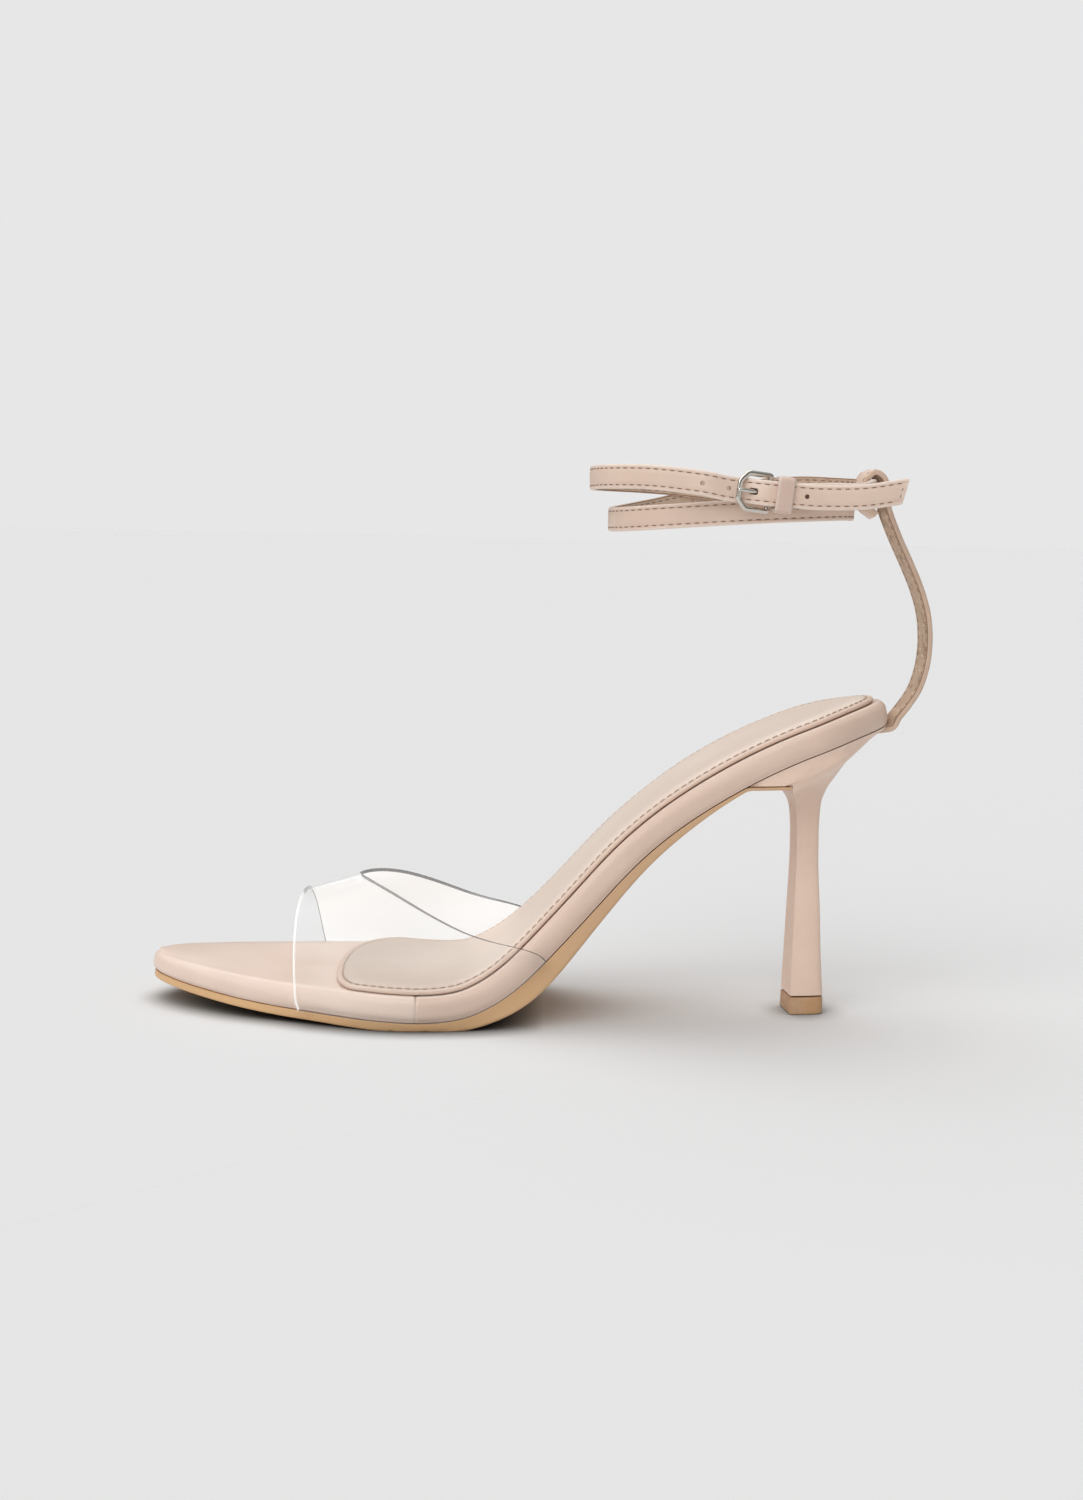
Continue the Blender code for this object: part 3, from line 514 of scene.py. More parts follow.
def make_piece(name, rings, finishes, replaced=(), sharp=40.0):
    """A shown piece of the sandal with its finishes, that rides with the rigid shoe."""
    mesh = bpy.data.meshes.new(name)
    form = bmesh.new()
    corners = [form.verts.new(np.asarray(point) * MM) for point in rings.points]
    for face, finish in zip(rings.faces, rings.finishes):
        try:
            form.faces.new([corners[i] for i in face]).material_index = min(finish, len(finishes) - 1)
        except ValueError:
            continue
    bmesh.ops.recalc_face_normals(form, faces=form.faces)
    form.to_mesh(mesh)
    form.free()
    mesh.shade_smooth()
    mesh.set_sharp_from_angle(angle=math.radians(sharp))
    for finish in finishes:
        mesh.materials.append(finish)
    item = bpy.data.objects.new(name, mesh)
    bpy.context.scene.collection.objects.link(item)
    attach(item, "root")
    if replaced:
        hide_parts(*replaced)
    return item


def settle(item):
    """Makes the piece's modifiers final."""
    bpy.context.view_layer.update()
    graph = bpy.context.evaluated_depsgraph_get()
    final = bpy.data.meshes.new_from_object(item.evaluated_get(graph))
    old = item.data
    item.modifiers.clear()
    item.data = final
    bpy.data.meshes.remove(old)
    final.name = item.name


def carve(item, cutters):
    """Cuts closed forms out of a piece; the cut takes the cutter's finish."""
    made = []
    for number, (rings, finish) in enumerate(cutters):
        mesh = bpy.data.meshes.new(f"{item.name}_cut_{number}")
        mesh.from_pydata([tuple(np.asarray(point) * MM) for point in rings.points], [], rings.faces)
        mesh.materials.append(finish)
        form = bmesh.new()
        form.from_mesh(mesh)
        bmesh.ops.recalc_face_normals(form, faces=form.faces)
        form.to_mesh(mesh)
        form.free()
        cutter = bpy.data.objects.new(mesh.name, mesh)
        bpy.context.scene.collection.objects.link(cutter)
        hole = item.modifiers.new(mesh.name, "BOOLEAN")
        hole.operation = "DIFFERENCE"
        hole.solver = "EXACT"
        hole.material_mode = "TRANSFER"
        hole.object = cutter
        made.append(cutter)
    settle(item)
    for cutter in made:
        mesh = cutter.data
        bpy.data.objects.remove(cutter)
        bpy.data.meshes.remove(mesh)


# Straps: a flat ribbon with soft edges, a sewn groove near each edge and a lining

def ribbon_frames(line, width_way):
    """Directions along, across the width of, and out from a strap at each point of its line."""
    way = unit(np.gradient(line, axis=0))
    width_way = np.broadcast_to(width_way, line.shape)
    up = unit(width_way - way * np.sum(way * width_way, axis=1)[:, None])
    return way, up, np.cross(way, up)


def strap_profile(width, wall, inset, groove, lining_out):
    """Closed section of a strap, and its finishes: 0 leather, 1 edge, 2 lining, 3 raw line."""
    half, thick = width / 2, wall / 2
    ease = 0.42 * wall / 2
    leather = [
        (half - 1.6 * ease, thick),
        (half - inset + groove, thick + 0.03),
        (half - inset, thick - 0.45 * groove),
        (half - inset - groove, thick + 0.05),
        (0.25 * half, thick + 0.10),
    ]
    leather += [(-w, t) for w, t in reversed(leather)]
    corner = [(-half + 0.5 * ease, thick - 0.35 * ease), (-half, thick - 1.3 * ease)]
    corner += [(-half, -thick + 1.2 * ease), (-half + 0.30 * ease, -thick + 0.45 * ease)]
    corner += [(-half + 0.95 * ease, -thick + 0.62 * ease)]
    lining = [
        (-half + 1.15 * ease, -thick),
        (-half + inset - groove, -thick),
        (-half + inset, -thick + 0.35 * groove),
        (-half + inset + groove, -thick),
    ]
    lining += [(-w, t) for w, t in reversed(lining)]
    other = [(-w, t) for w, t in reversed(corner)]
    points = leather + corner + lining + other
    finishes = [0] * (len(leather) - 1) + [1] * 4 + [3] * 2 + [2] * (len(lining) - 1) + [3] * 2 + [1] * 4
    if lining_out:
        points = [(w, -t) for w, t in points]
    return points, finishes[: len(points)]


def strap_sections(line, frames, profile):
    _, up, out = frames
    return [[p + up[i] * w + out[i] * t for w, t in profile] for i, p in enumerate(line)]


def lengths_of(line):
    return np.concatenate([[0.0], np.cumsum(np.linalg.norm(np.diff(line, axis=0), axis=1))])


STITCH_SIDES = 6
STITCH_FORM = (
    # place along the stitch, thickness, depth, as shares of the thread's own sizes
    (-0.5, 0.45, 0.75),
    (-0.34, 1.0, 0.12),
    (0.34, 1.0, 0.12),
    (0.5, 0.45, 0.75),
)
STITCH_FLAT = 0.8


def sew(rings, line, way, across, out, pitch, long, thick, start=1.2, end=1.2):
    """Adds a row of sunk stitches on a line: each a short thread that dives in at both ends."""
    length = lengths_of(line)
    for place in np.arange(start + pitch / 2, length[-1] - end, pitch):
        middle, along, side, lift = (
            np.array([np.interp(place, length, part[:, axis]) for axis in range(3)])
            for part in (line, way, across, out)
        )
        along, side, lift = unit(along), unit(side), unit(lift)
        rows = []
        for reach, size, sink in STITCH_FORM:
            centre = middle + along * reach * long - lift * sink * thick
            turns = np.arange(STITCH_SIDES) * 2 * math.pi / STITCH_SIDES
            spokes = [side * math.cos(t) + lift * math.sin(t) * STITCH_FLAT for t in turns]
            rows.append([len(rings.points) + i for i in range(STITCH_SIDES)])
            rings.points += [centre + spoke * size * thick / 2 for spoke in spokes]
        for first, second in zip(rows, rows[1:]):
            rings.strip(first + first[:1], second + second[:1])
        rings.face(*rows[0])
        rings.face(*rows[-1])


# Shader groups: effects that several finishes share

def group_of(name, inputs, outputs):
    """A new shader group with named sockets, or None with the group if it is there already."""
    tree = bpy.data.node_groups.get(name)
    if tree:
        return tree, None
    tree = bpy.data.node_groups.new(name, "ShaderNodeTree")
    for label, kind, value in inputs:
        socket = tree.interface.new_socket(label, in_out="INPUT", socket_type=kind)
        socket.default_value = value
    for label, kind in outputs:
        tree.interface.new_socket(label, in_out="OUTPUT", socket_type=kind)
    return tree, Wiring(tree)


class Wiring:
    """Adds nodes to a shader tree and joins them."""

    def __init__(self, tree):
        self.tree = tree

    def add(self, kind, settings=None, **values):
        node = self.tree.nodes.new(kind)
        for name, value in (settings or {}).items():
            setattr(node, name, value)
        for name, value in values.items():
            self.put(node, name.replace("_", " "), value)
        return node

    def put(self, node, name, value):
        socket = node.inputs[int(name)] if name.isdigit() else node.inputs[name]
        if isinstance(value, bpy.types.NodeSocket):
            self.tree.links.new(value, socket)
        else:
            socket.default_value = value

    def math(self, operation, first, second, third=None, clamp=False):
        node = self.tree.nodes.new("ShaderNodeMath")
        node.operation = operation
        node.use_clamp = clamp
        for place, value in enumerate((first, second, third)):
            if value is not None:
                self.put(node, str(place), value)
        return node.outputs[0]

    def spread(self, value, low, high, to_low=0.0, to_high=1.0):
        """A value eased from one range to another."""
        node = self.tree.nodes.new("ShaderNodeMapRange")
        node.interpolation_type = "SMOOTHSTEP"
        names = ("Value", "From Min", "From Max", "To Min", "To Max")
        for name, number in zip(names, (value, low, high, to_low, to_high)):
            self.put(node, name, number)
        return node.outputs["Result"]

    def swing(self, noise, reach, base):
        """A base value moved up and down by a noise, and kept between 0 and 1."""
        return self.math("MULTIPLY_ADD", self.math("SUBTRACT", noise, 0.5), reach, base, clamp=True)

    def mix(self, share, first, second, blend="MIX"):
        node = self.tree.nodes.new("ShaderNodeMix")
        node.data_type = "RGBA"
        node.blend_type = blend
        self.put(node, "0", share)
        self.put(node, "6", first)
        self.put(node, "7", second)
        return node.outputs[2]

    def noise(self, scale, detail, vector, rough=0.5):
        node = self.add("ShaderNodeTexNoise", Detail=detail, Roughness=rough)
        self.put(node, "Scale", scale)
        self.put(node, "Vector", vector)
        return node.outputs["Fac"]

    def place(self, stretch=(1.0, 1.0, 1.0)):
        """Coordinates of the piece itself, in metres, stretched along its axes."""
        spot = self.tree.nodes.new("ShaderNodeTexCoord")
        mapping = self.add("ShaderNodeMapping", Scale=stretch)
        self.put(mapping, "Vector", spot.outputs["Object"])
        return mapping.outputs["Vector"]

    def axes(self):
        """The three coordinates of the piece itself, each on its own."""
        return self.add("ShaderNodeSeparateXYZ", Vector=self.place()).outputs

    def give(self, **values):
        """Sends values to the outputs of a shader group."""
        result = self.tree.nodes.new("NodeGroupOutput")
        for name, value in values.items():
            self.put(result, name, value)


BLACK = (0.0, 0.0, 0.0, 1.0)

# Scales of the noises, in turns per metre
PATCH_SCALE = 38.0
MOTTLE_SCALE = 420.0
CREASE_SCALE = 160.0
SPECK_PATCH_SCALE = 260.0
RUB_SCALE = 700.0


def leather_grain_group():
    """Soft tone patches, pore grain and faint creases of dyed leather."""
    inputs = (
        ("Colour", "NodeSocketColor", (0.7, 0.5, 0.4, 1.0)),
        ("Deep Colour", "NodeSocketColor", (0.6, 0.4, 0.3, 1.0)),
        ("Patches", "NodeSocketFloat", 0.4),
        ("Grain Scale", "NodeSocketFloat", 1500.0),
        ("Roughness", "NodeSocketFloat", 0.5),
    )
    outputs = (("Colour", "NodeSocketColor"), ("Roughness", "NodeSocketFloat"), ("Height", "NodeSocketFloat"))
    tree, wiring = group_of("leather_grain", inputs, outputs)
    if wiring is None:
        return tree
    given = tree.nodes.new("NodeGroupInput").outputs
    spot = wiring.place()
    patches = wiring.noise(PATCH_SCALE, 3.0, spot)
    mottle = wiring.noise(MOTTLE_SCALE, 3.0, spot, 0.6)
    cells = wiring.add("ShaderNodeTexVoronoi", {"feature": "SMOOTH_F1"}, Vector=spot, Smoothness=0.4)
    wiring.put(cells, "Scale", given["Grain Scale"])
    creases = wiring.noise(CREASE_SCALE, 4.0, wiring.place((0.35, 1.0, 1.6)), 0.65)
    share = wiring.math("MULTIPLY", wiring.spread(patches, 0.30, 0.72), given["Patches"])
    share = wiring.swing(mottle, 0.30, share)
    colour = wiring.mix(share, given["Colour"], given["Deep Colour"])
    rough = wiring.swing(mottle, 0.16, given["Roughness"])
    creases = wiring.math("MULTIPLY", creases, 0.8)
    height = wiring.math("MULTIPLY_ADD", cells.outputs["Distance"], 0.55, creases)
    wiring.give(Colour=colour, Roughness=rough, Height=height)
    return tree


def speckle_group():
    """Pale specks and fine wrinkles of a pigskin lining or raw edge."""
    inputs = (
        ("Colour", "NodeSocketColor", (0.45, 0.32, 0.22, 1.0)),
        ("Speck Colour", "NodeSocketColor", (0.8, 0.7, 0.6, 1.0)),
        ("Dark Colour", "NodeSocketColor", (0.25, 0.15, 0.09, 1.0)),
        ("Specks", "NodeSocketFloat", 0.5),
        ("Scale", "NodeSocketFloat", 1400.0),
    )
    outputs = (("Colour", "NodeSocketColor"), ("Height", "NodeSocketFloat"))
    tree, wiring = group_of("lining_specks", inputs, outputs)
    if wiring is None:
        return tree
    given = tree.nodes.new("NodeGroupInput").outputs
    spot = wiring.place()
    fine = wiring.noise(given["Scale"], 3.0, spot, 0.65)
    broad = wiring.noise(SPECK_PATCH_SCALE, 3.0, spot, 0.6)
    wrinkle = wiring.noise(MOTTLE_SCALE, 3.0, wiring.place((1.0, 0.25, 1.0)), 0.6)
    specks = wiring.math("MULTIPLY", wiring.spread(fine, 0.56, 0.70), given["Specks"])
    dark = wiring.math("MULTIPLY", wiring.spread(broad, 0.48, 0.30), 0.6)
    colour = wiring.mix(dark, given["Colour"], given["Dark Colour"])
    colour = wiring.mix(specks, colour, given["Speck Colour"])
    height = wiring.math("MULTIPLY_ADD", wrinkle, 0.8, wiring.math("MULTIPLY", fine, 0.5))
    wiring.give(Colour=colour, Height=height)
    return tree


def edge_wear_group():
    """Lighter, drier rims where an edge is rubbed, and painted shade that darkens its creases and hollows."""
    inputs = (
        ("Colour", "NodeSocketColor", (0.7, 0.5, 0.4, 1.0)),
        ("Worn Colour", "NodeSocketColor", (0.85, 0.7, 0.6, 1.0)),
        ("Crease Colour", "NodeSocketColor", (0.4, 0.25, 0.17, 1.0)),
        ("Wear", "NodeSocketFloat", 0.4),
        ("Crease", "NodeSocketFloat", 0.4),
    )
    tree, wiring = group_of("edge_wear", inputs, (("Colour", "NodeSocketColor"),))
    if wiring is None:
        return tree
    given = tree.nodes.new("NodeGroupInput").outputs
    bend = tree.nodes.new("ShaderNodeNewGeometry").outputs["Pointiness"]
    broken = wiring.spread(wiring.noise(RUB_SCALE, 3.0, wiring.place()), 0.25, 0.75, 0.4, 1.0)
    worn = wiring.math("MULTIPLY", wiring.spread(bend, 0.505, 0.56), given["Wear"])
    worn = wiring.math("MULTIPLY", worn, broken)
    # Painted shade: darker where the surface is hollow.
    crease_shade = wiring.math("MULTIPLY", wiring.spread(bend, 0.495, 0.44), given["Crease"])
    colour = wiring.mix(worn, given["Colour"], given["Worn Colour"])
    wiring.give(Colour=wiring.mix(crease_shade, colour, given["Crease Colour"]))
    return tree


def blank_finish(name, roughness, metallic=0.0):
    """A new material with its wiring and its shader, or the one that is there and twice None."""
    known = bpy.data.materials.get(name)
    if known:
        return known, None, None
    material = bpy.data.materials.new(name)
    material.use_nodes = True
    shader = material.node_tree.nodes["Principled BSDF"]
    shader.inputs["Roughness"].default_value = roughness
    shader.inputs["Metallic"].default_value = metallic
    return material, Wiring(material.node_tree), shader


def use_group(wiring, tree, **values):
    """A node for a shader group with its inputs set or linked."""
    node = wiring.add("ShaderNodeGroup")
    node.node_tree = tree
    for name, value in values.items():
        wiring.put(node, name.replace("_", " "), value)
    return node


def grain_of(wiring, colour, deep, patches, grain, roughness):
    """Outputs of a new grain node for a leather, sole or tip."""
    return use_group(
        wiring, leather_grain_group(), Colour=opaque(colour), Deep_Colour=opaque(deep),
        Patches=patches, Grain_Scale=grain, Roughness=roughness,
    ).outputs


def raise_bump(wiring, shader, height, distance, strength):
    """Gives the shader a relief of so many millimetres."""
    bump = wiring.add("ShaderNodeBump", Strength=strength, Distance=distance * MM)
    wiring.put(bump, "Height", height)
    wiring.put(shader, "Normal", bump.outputs["Normal"])


def opaque(colour):
    """A colour with full alpha, as a colour socket takes it."""
    return (*colour, 1.0)


LEATHERS = {
    # name: colour, its deeper tone, roughness, grain scale, patches, relief in mm, wear
    "blush_leather": ("blush", "blush_deep", 0.44, 1500.0, 0.35, 0.06, 0.35),
    "toe_leather": ("toe", "blush", 0.40, 1500.0, 0.45, 0.06, 0.35),
    # The heel's leather takes its own lighter colour: painted light.
    "heel_leather": ("heel", "blush_deep", 0.42, 1500.0, 0.35, 0.06, 0.10),
    "sock_leather": ("sock", "sock_deep", 0.50, 1300.0, 0.40, 0.08, 0.35),
    # The sock's sewn rim, in a darker copy of the sock's leather: painted shade on its side.
    "sock_edge": ("sock_edge", "sock_deep", 0.50, 1300.0, 0.40, 0.06, 0.15),
    "strap_leather": ("strap", "strap_deep", 0.46, 1900.0, 0.50, 0.06, 0.35),
    # The straps' turned edges, lighter than the strap: painted highlight on the rounded fold.
    "strap_edge": ("strap_edge", "strap", 0.50, 2600.0, 0.60, 0.06, 0.50),
    "back_strap_edge": ("counter_edge", "raw_line", 0.50, 2600.0, 0.40, 0.06, 0.20),
    "keeper_leather": ("keeper", "strap_deep", 0.42, 2000.0, 0.30, 0.06, 0.50),
}
LININGS = {
    # name: colour, speck colour, dark colour, specks, speck scale, relief in mm
    "strap_lining": ("lining", "lining_speck", "lining_dark", 0.35, 1500.0, 0.10),
    "counter_lining": ("counter_lining", "lining_speck", "lining_dark", 1.0, 1100.0, 0.30),
    "raw_leather_line": ("raw_line", "lining_speck", "lining_dark", 0.3, 1800.0, 0.10),
    "pressed_board": ("board", "board_speck", "board_dark", 0.6, 2200.0, 0.08),
}
LINING_ROUGHNESS = 0.72
# Painted shade in the creases of each leather: its strength, and its darkness against the deeper tone.
CREASE_SHADE_STRENGTH = 0.45
CREASE_SHADE = 0.45
RUBBED_SHADE = 0.55
THREAD_SHADE = 0.6


def looks():
    return bpy.context.scene.sandal_finish


def colours(*names):
    """Colours of the user's finish, each as a list of three parts."""
    return [list(getattr(looks(), name)) for name in names]


def leather(name):
    """Dyed leather of one colour, with pores, tone patches, lighter rubbed edges and painted shade in its
    creases.
    """
    colour, deep, roughness, grain, patches, relief, wear = LEATHERS[name]
    colour, deep = colours(colour, deep)
    material, wiring, shader = blank_finish(name, roughness)
    if wiring is None:
        return material
    grained = grain_of(wiring, colour, deep, patches, grain, roughness)
    pale = [1 - (1 - part) * RUBBED_SHADE for part in colour]
    worn = use_group(
        wiring, edge_wear_group(), Colour=grained["Colour"], Worn_Colour=opaque(pale),
        Crease_Colour=opaque([part * CREASE_SHADE for part in deep]), Wear=wear, Crease=CREASE_SHADE_STRENGTH,
    )
    wiring.put(shader, "Base Color", worn.outputs["Colour"])
    wiring.put(shader, "Roughness", grained["Roughness"])
    raise_bump(wiring, shader, grained["Height"], relief, 0.5)
    return material


def lining(name):
    """Specked inner face, raw edge or board."""
    colour, speck, dark, specks, scale, relief = LININGS[name]
    colour, speck, dark = colours(colour, speck, dark)
    material, wiring, shader = blank_finish(name, LINING_ROUGHNESS)
    if wiring is None:
        return material
    speckled = use_group(
        wiring, speckle_group(), Colour=opaque(colour), Speck_Colour=opaque(speck),
        Dark_Colour=opaque(dark), Specks=specks, Scale=scale,
    )
    wiring.put(shader, "Base Color", speckled.outputs["Colour"])
    raise_bump(wiring, shader, speckled.outputs["Height"], relief, 0.6)
    return material


def thread(name, colour):
    """Twisted sewing thread."""
    material, wiring, shader = blank_finish(name, 0.6)
    if wiring is None:
        return material
    twist = wiring.noise(5200.0, 1.0, wiring.place())
    dark = opaque([part * THREAD_SHADE for part in colour])
    wiring.put(shader, "Base Color", wiring.mix(wiring.spread(twist, 0.3, 0.7), opaque(colour), dark))
    raise_bump(wiring, shader, twist, 0.05, 0.5)
    return material


# Sizes and colours that a user would change

def tone(name, description, value):
    return bpy.props.FloatVectorProperty(
        name=name, description=description, default=value, size=3, min=0.0, max=1.0, subtype="COLOR"
    )


class SandalFinish(bpy.types.PropertyGroup):
    """Colours of the leathers, lining, thread, sole, clear sheet and metal"""

    blush: tone("Blush", "Leather of the wrapped platform", (0.745, 0.565, 0.458))
    blush_deep: tone("Deep Blush", "Darker tone patches of that leather", (0.660, 0.470, 0.370))
    toe: tone("Toe", "Leather of the toe cover", (0.845, 0.685, 0.590))
    # Painted light: the heel gets a lighter colour than the same blush leather elsewhere, for the bright
    # light that falls on it.
    heel: tone("Heel", "Leather stretched over the heel", (0.870, 0.650, 0.520))
    strap: tone("Strap", "Leather of the straps", (0.785, 0.605, 0.490))
    strap_deep: tone("Deep Strap", "Darker tone patches of the straps", (0.650, 0.460, 0.365))
    # Painted highlight: the turned edge is lighter for the light on its rounded fold.
    strap_edge: tone("Strap Edge", "Turned edge of the straps", (0.800, 0.640, 0.535))
    keeper: tone("Keeper", "Leather of the keeper", (0.640, 0.470, 0.387))
    lining: tone("Lining", "Lining inside the ankle strap", (0.560, 0.410, 0.310))
    counter_lining: tone("Back Strap Lining", "Specked lining inside the back strap", (0.550, 0.400, 0.285))
    counter_edge: tone("Back Strap Edge", "Cut edge of the back strap", (0.700, 0.500, 0.370))
    lining_speck: tone("Specks", "Pale specks in the linings", (0.800, 0.680, 0.560))
    lining_dark: tone("Lining Dark", "Dark wrinkles in the linings", (0.260, 0.160, 0.095))
    raw_line: tone("Raw Line", "Raw leather between strap and lining", (0.330, 0.190, 0.110))
    board: tone("Board", "Pressed board of the platform, under its covers", (0.500, 0.400, 0.290))
    board_speck: tone("Board Specks", "Pale specks in the board", (0.660, 0.560, 0.440))
    board_dark: tone("Board Dark", "Dark fibres in the board", (0.300, 0.220, 0.150))
    thread: tone("Strap Thread", "Sewing thread of the straps", (0.300, 0.190, 0.140))
    sock_thread: tone("Sock Thread", "Sewing thread of the sock", (0.600, 0.450, 0.345))
    sock: tone("Sock", "Leather of the padded sock", (0.800, 0.680, 0.590))
    sock_deep: tone("Deep Sock", "Darker tone patches of the sock", (0.720, 0.570, 0.470))
    # Painted shade on the sock under the vamp.
    sock_front: tone("Sock Front", "Shade of the sock under the vamp", (0.830, 0.815, 0.800))
    # Painted shade: the sewn rim of the sock is a darker tan for the shade on its side.
    sock_edge: tone("Sock Edge", "Sewn rim of the sock", (0.730, 0.550, 0.440))
    sole: tone("Sole", "Tan leather of the outsole", (0.800, 0.490, 0.235))
    sole_deep: tone("Deep Sole", "Duller tone of the outsole under the arch", (0.620, 0.395, 0.225))
    tip: tone("Tip", "Heel tip", (0.370, 0.190, 0.098))
    sheet: tone("Clear Sheet", "Tint of the clear vamp", (0.965, 0.975, 0.965))
    # Painted reflection: how far each side of the vamp whitens what is behind it.
    near_haze: bpy.props.FloatProperty(
        name="Near Reflection Veil", description="How far the vamp's outer side veils what is behind it",
        default=0.025, min=0.0, max=1.0, subtype="FACTOR",
    )
    far_haze: bpy.props.FloatProperty(
        name="Far Reflection Veil", description="How far the vamp's inner side veils what is behind it",
        default=0.46, min=0.0, max=1.0, subtype="FACTOR",
    )
    metal: tone("Buckle", "Polished metal of the buckle", (0.620, 0.580, 0.525))


class SandalSewing(bpy.types.PropertyGroup):
    """Sizes of the seams, in metres"""

    pitch: bpy.props.FloatProperty(
        name="Stitch Pitch", description="Distance from one stitch to the next",
        default=2.5 * MM, min=1.0 * MM, max=6.0 * MM, unit="LENGTH",
    )
    stitch: bpy.props.FloatProperty(
        name="Stitch Length", description="Visible length of a stitch",
        default=1.6 * MM, min=0.5 * MM, max=5.0 * MM, unit="LENGTH",
    )
    thickness: bpy.props.FloatProperty(
        name="Thread Thickness", description="Diameter of the thread",
        default=0.42 * MM, min=0.1 * MM, max=1.0 * MM, unit="LENGTH",
    )
    inset: bpy.props.FloatProperty(
        name="Stitch Inset", description="Distance of a seam from a strap's edge",
        default=1.15 * MM, min=0.5 * MM, max=3.0 * MM, unit="LENGTH",
    )
    sock_inset: bpy.props.FloatProperty(
        name="Sock Inset", description="Distance of the sock's seam from its edge",
        default=1.7 * MM, min=1.5 * MM, max=8.0 * MM, unit="LENGTH",
    )
    hole: bpy.props.FloatProperty(
        name="Hole", description="Diameter of the punched adjusting holes",
        default=1.3 * MM, min=0.5 * MM, max=3.0 * MM, unit="LENGTH",
    )


class SandalStage(bpy.types.PropertyGroup):
    """Floor, light and camera"""

    floor: tone("Floor", "Pale floor", (0.748, 0.748, 0.748))
    backdrop: tone("Backdrop", "Pale background", (0.800, 0.800, 0.800))
    sky: bpy.props.FloatProperty(
        name="Sky", description="Strength of the even light all round", default=0.38, min=0.0, max=5.0,
    )
    key: bpy.props.FloatProperty(
        name="Key", description="Strength of the soft light from above", default=1.0, min=0.0, max=20.0,
    )
    lens: bpy.props.FloatProperty(
        name="Lens", description="Focal length of the camera for a 36 mm frame",
        default=45.27, min=10.0, max=200.0, subtype="DISTANCE_CAMERA",
    )


# Outsole

SOLE_ARCH_SPAN = (-0.105, -0.060)
LOW_DARK_LEVELS = (0.0012, 0.0002)
LOW_DARK_COLOUR = (0.30, 0.19, 0.11, 1.0)
SOLE_EDGE_ROWS = (
    # inset as a share of the bevel, share of the depth
    (1.0, 1.0),
    (0.45, 0.95),
    (0.12, 0.85),
    (0.0, 0.70),
    (0.0, 0.30),
    (0.0, 0.0),
    (1.0, 0.0),
)


class SandalOutsole(bpy.types.Operator):
    """Builds the tan outsole with rounded edges"""

    bl_idname = "sandal.outsole"
    bl_label = "Outsole"
    count = 150

    def execute(self, context):
        shares = stations(0.0, TAIL_SHARE, self.count)
        depth = through(OUTSOLE_DEPTH, shares)
        rows = []
        for bevel, share_of_depth in SOLE_EDGE_ROWS:
            inset = OUTSOLE_INSET + bevel * OUTSOLE_BEVEL
            height = -CLEAR - depth * share_of_depth
            near, far = (bed(*edge(side, shares, inset), height) for side in (-1, 1))
            merge_ends(near, far, 0)
            for chain in (near, far):
                level = lip_level(chain[:, 0]) - CLEAR - OUTSOLE_TAIL * share_of_depth
                run = chain[:, 0] > TAIL_X - TAIL_RUN
                chain[:, 2] = np.minimum(chain[:, 2], np.where(run, level, np.inf))
                chain[:, 2] = np.maximum(chain[:, 2], OUTSOLE_BEVEL * (1 - share_of_depth))
                chain[:, 0] = np.minimum(chain[:, 0], BREAST_X - CLEAR)
            rows.append((near, far))
        make_piece("outsole_leather", layered(rows), [self.finish()], ["outsole"])
        return {"FINISHED"}

    def finish(self):
        look = looks()
        finish, wiring, shader = blank_finish("tan_sole", 0.5)
        if wiring is None:
            return finish
        grained = grain_of(wiring, look.sole, look.sole_deep, 0.5, 2400.0, 0.46)
        spot = wiring.axes()
        arch = wiring.spread(spot["X"], *SOLE_ARCH_SPAN)
        dull = wiring.mix(arch, grained["Colour"], opaque(look.sole_deep))
        # Darker in broken patches towards the sole's lowest 1.2 mm.
        low_patches = wiring.noise(900.0, 4.0, wiring.place((0.25, 1.0, 1.0)), 0.7)
        low = wiring.spread(spot["Z"], *LOW_DARK_LEVELS)
        low_dark = wiring.math("MULTIPLY", wiring.spread(low_patches, 0.5, 0.7), low)
        wiring.put(shader, "Base Color", wiring.mix(low_dark, dull, LOW_DARK_COLOUR))
        wiring.put(shader, "Roughness", grained["Roughness"])
        raise_bump(wiring, shader, grained["Height"], 0.05, 0.4)
        return finish


# Wrapped platform

def wrap_profile():
    """Rounded edge of a wrapped cover: insets as shares of the margin, and shares of the height."""
    middle = path_through(EDGE_PROFILE[1:6], 4)
    return np.clip(np.vstack([[EDGE_PROFILE[0]], middle, [EDGE_PROFILE[-1]]]), 0.0, 1.0)


def puffs(along, rise, side):
    """Faint puffs and streaks of leather pulled over an edge, in millimetres."""
    broad = 0.10 * np.sin(along / 6.3 + side) * np.sin(along / 23.0 + 2.0 * rise)
    return broad + 0.07 * np.sin(9.0 * rise + along / 13.0)


def cover_skins(side, shares, seam_share):
    """Outer and inner surface of a leather cover, as rows over the stations of one side."""
    along = shares * SOLE_ARC
    near_seam = np.clip(1 - np.abs(along - seam_share * SOLE_ARC) / SEAM_SOFT, 0.0, 1.0) ** 2
    tip_ease = np.interp(shares, TIP_EASE_SPAN, TIP_EASE)
    high = platform(shares)
    outer, inner = [], []
    for reach, rise in wrap_profile():
        turned_in = reach > 0.9
        bulge = 0.0 if turned_in else math.sin(math.pi * rise)
        inset = reach * (tip_ease if turned_in else 1.0)
        dip = SEAM_DIP * near_seam * (not turned_in)
        place = MARGIN * inset + dip - puffs(along, rise, side) * bulge
        drop = SEAM_DIP * near_seam * (rise > 0.8)
        outer.append(bed(*edge(side, shares, place), high * rise - drop))
        skin_height = np.clip(high * rise, LEATHER, high - LEATHER)
        inner.append(bed(*edge(side, shares, MARGIN * inset + LEATHER), skin_height))
    return np.array(outer), np.array(inner)


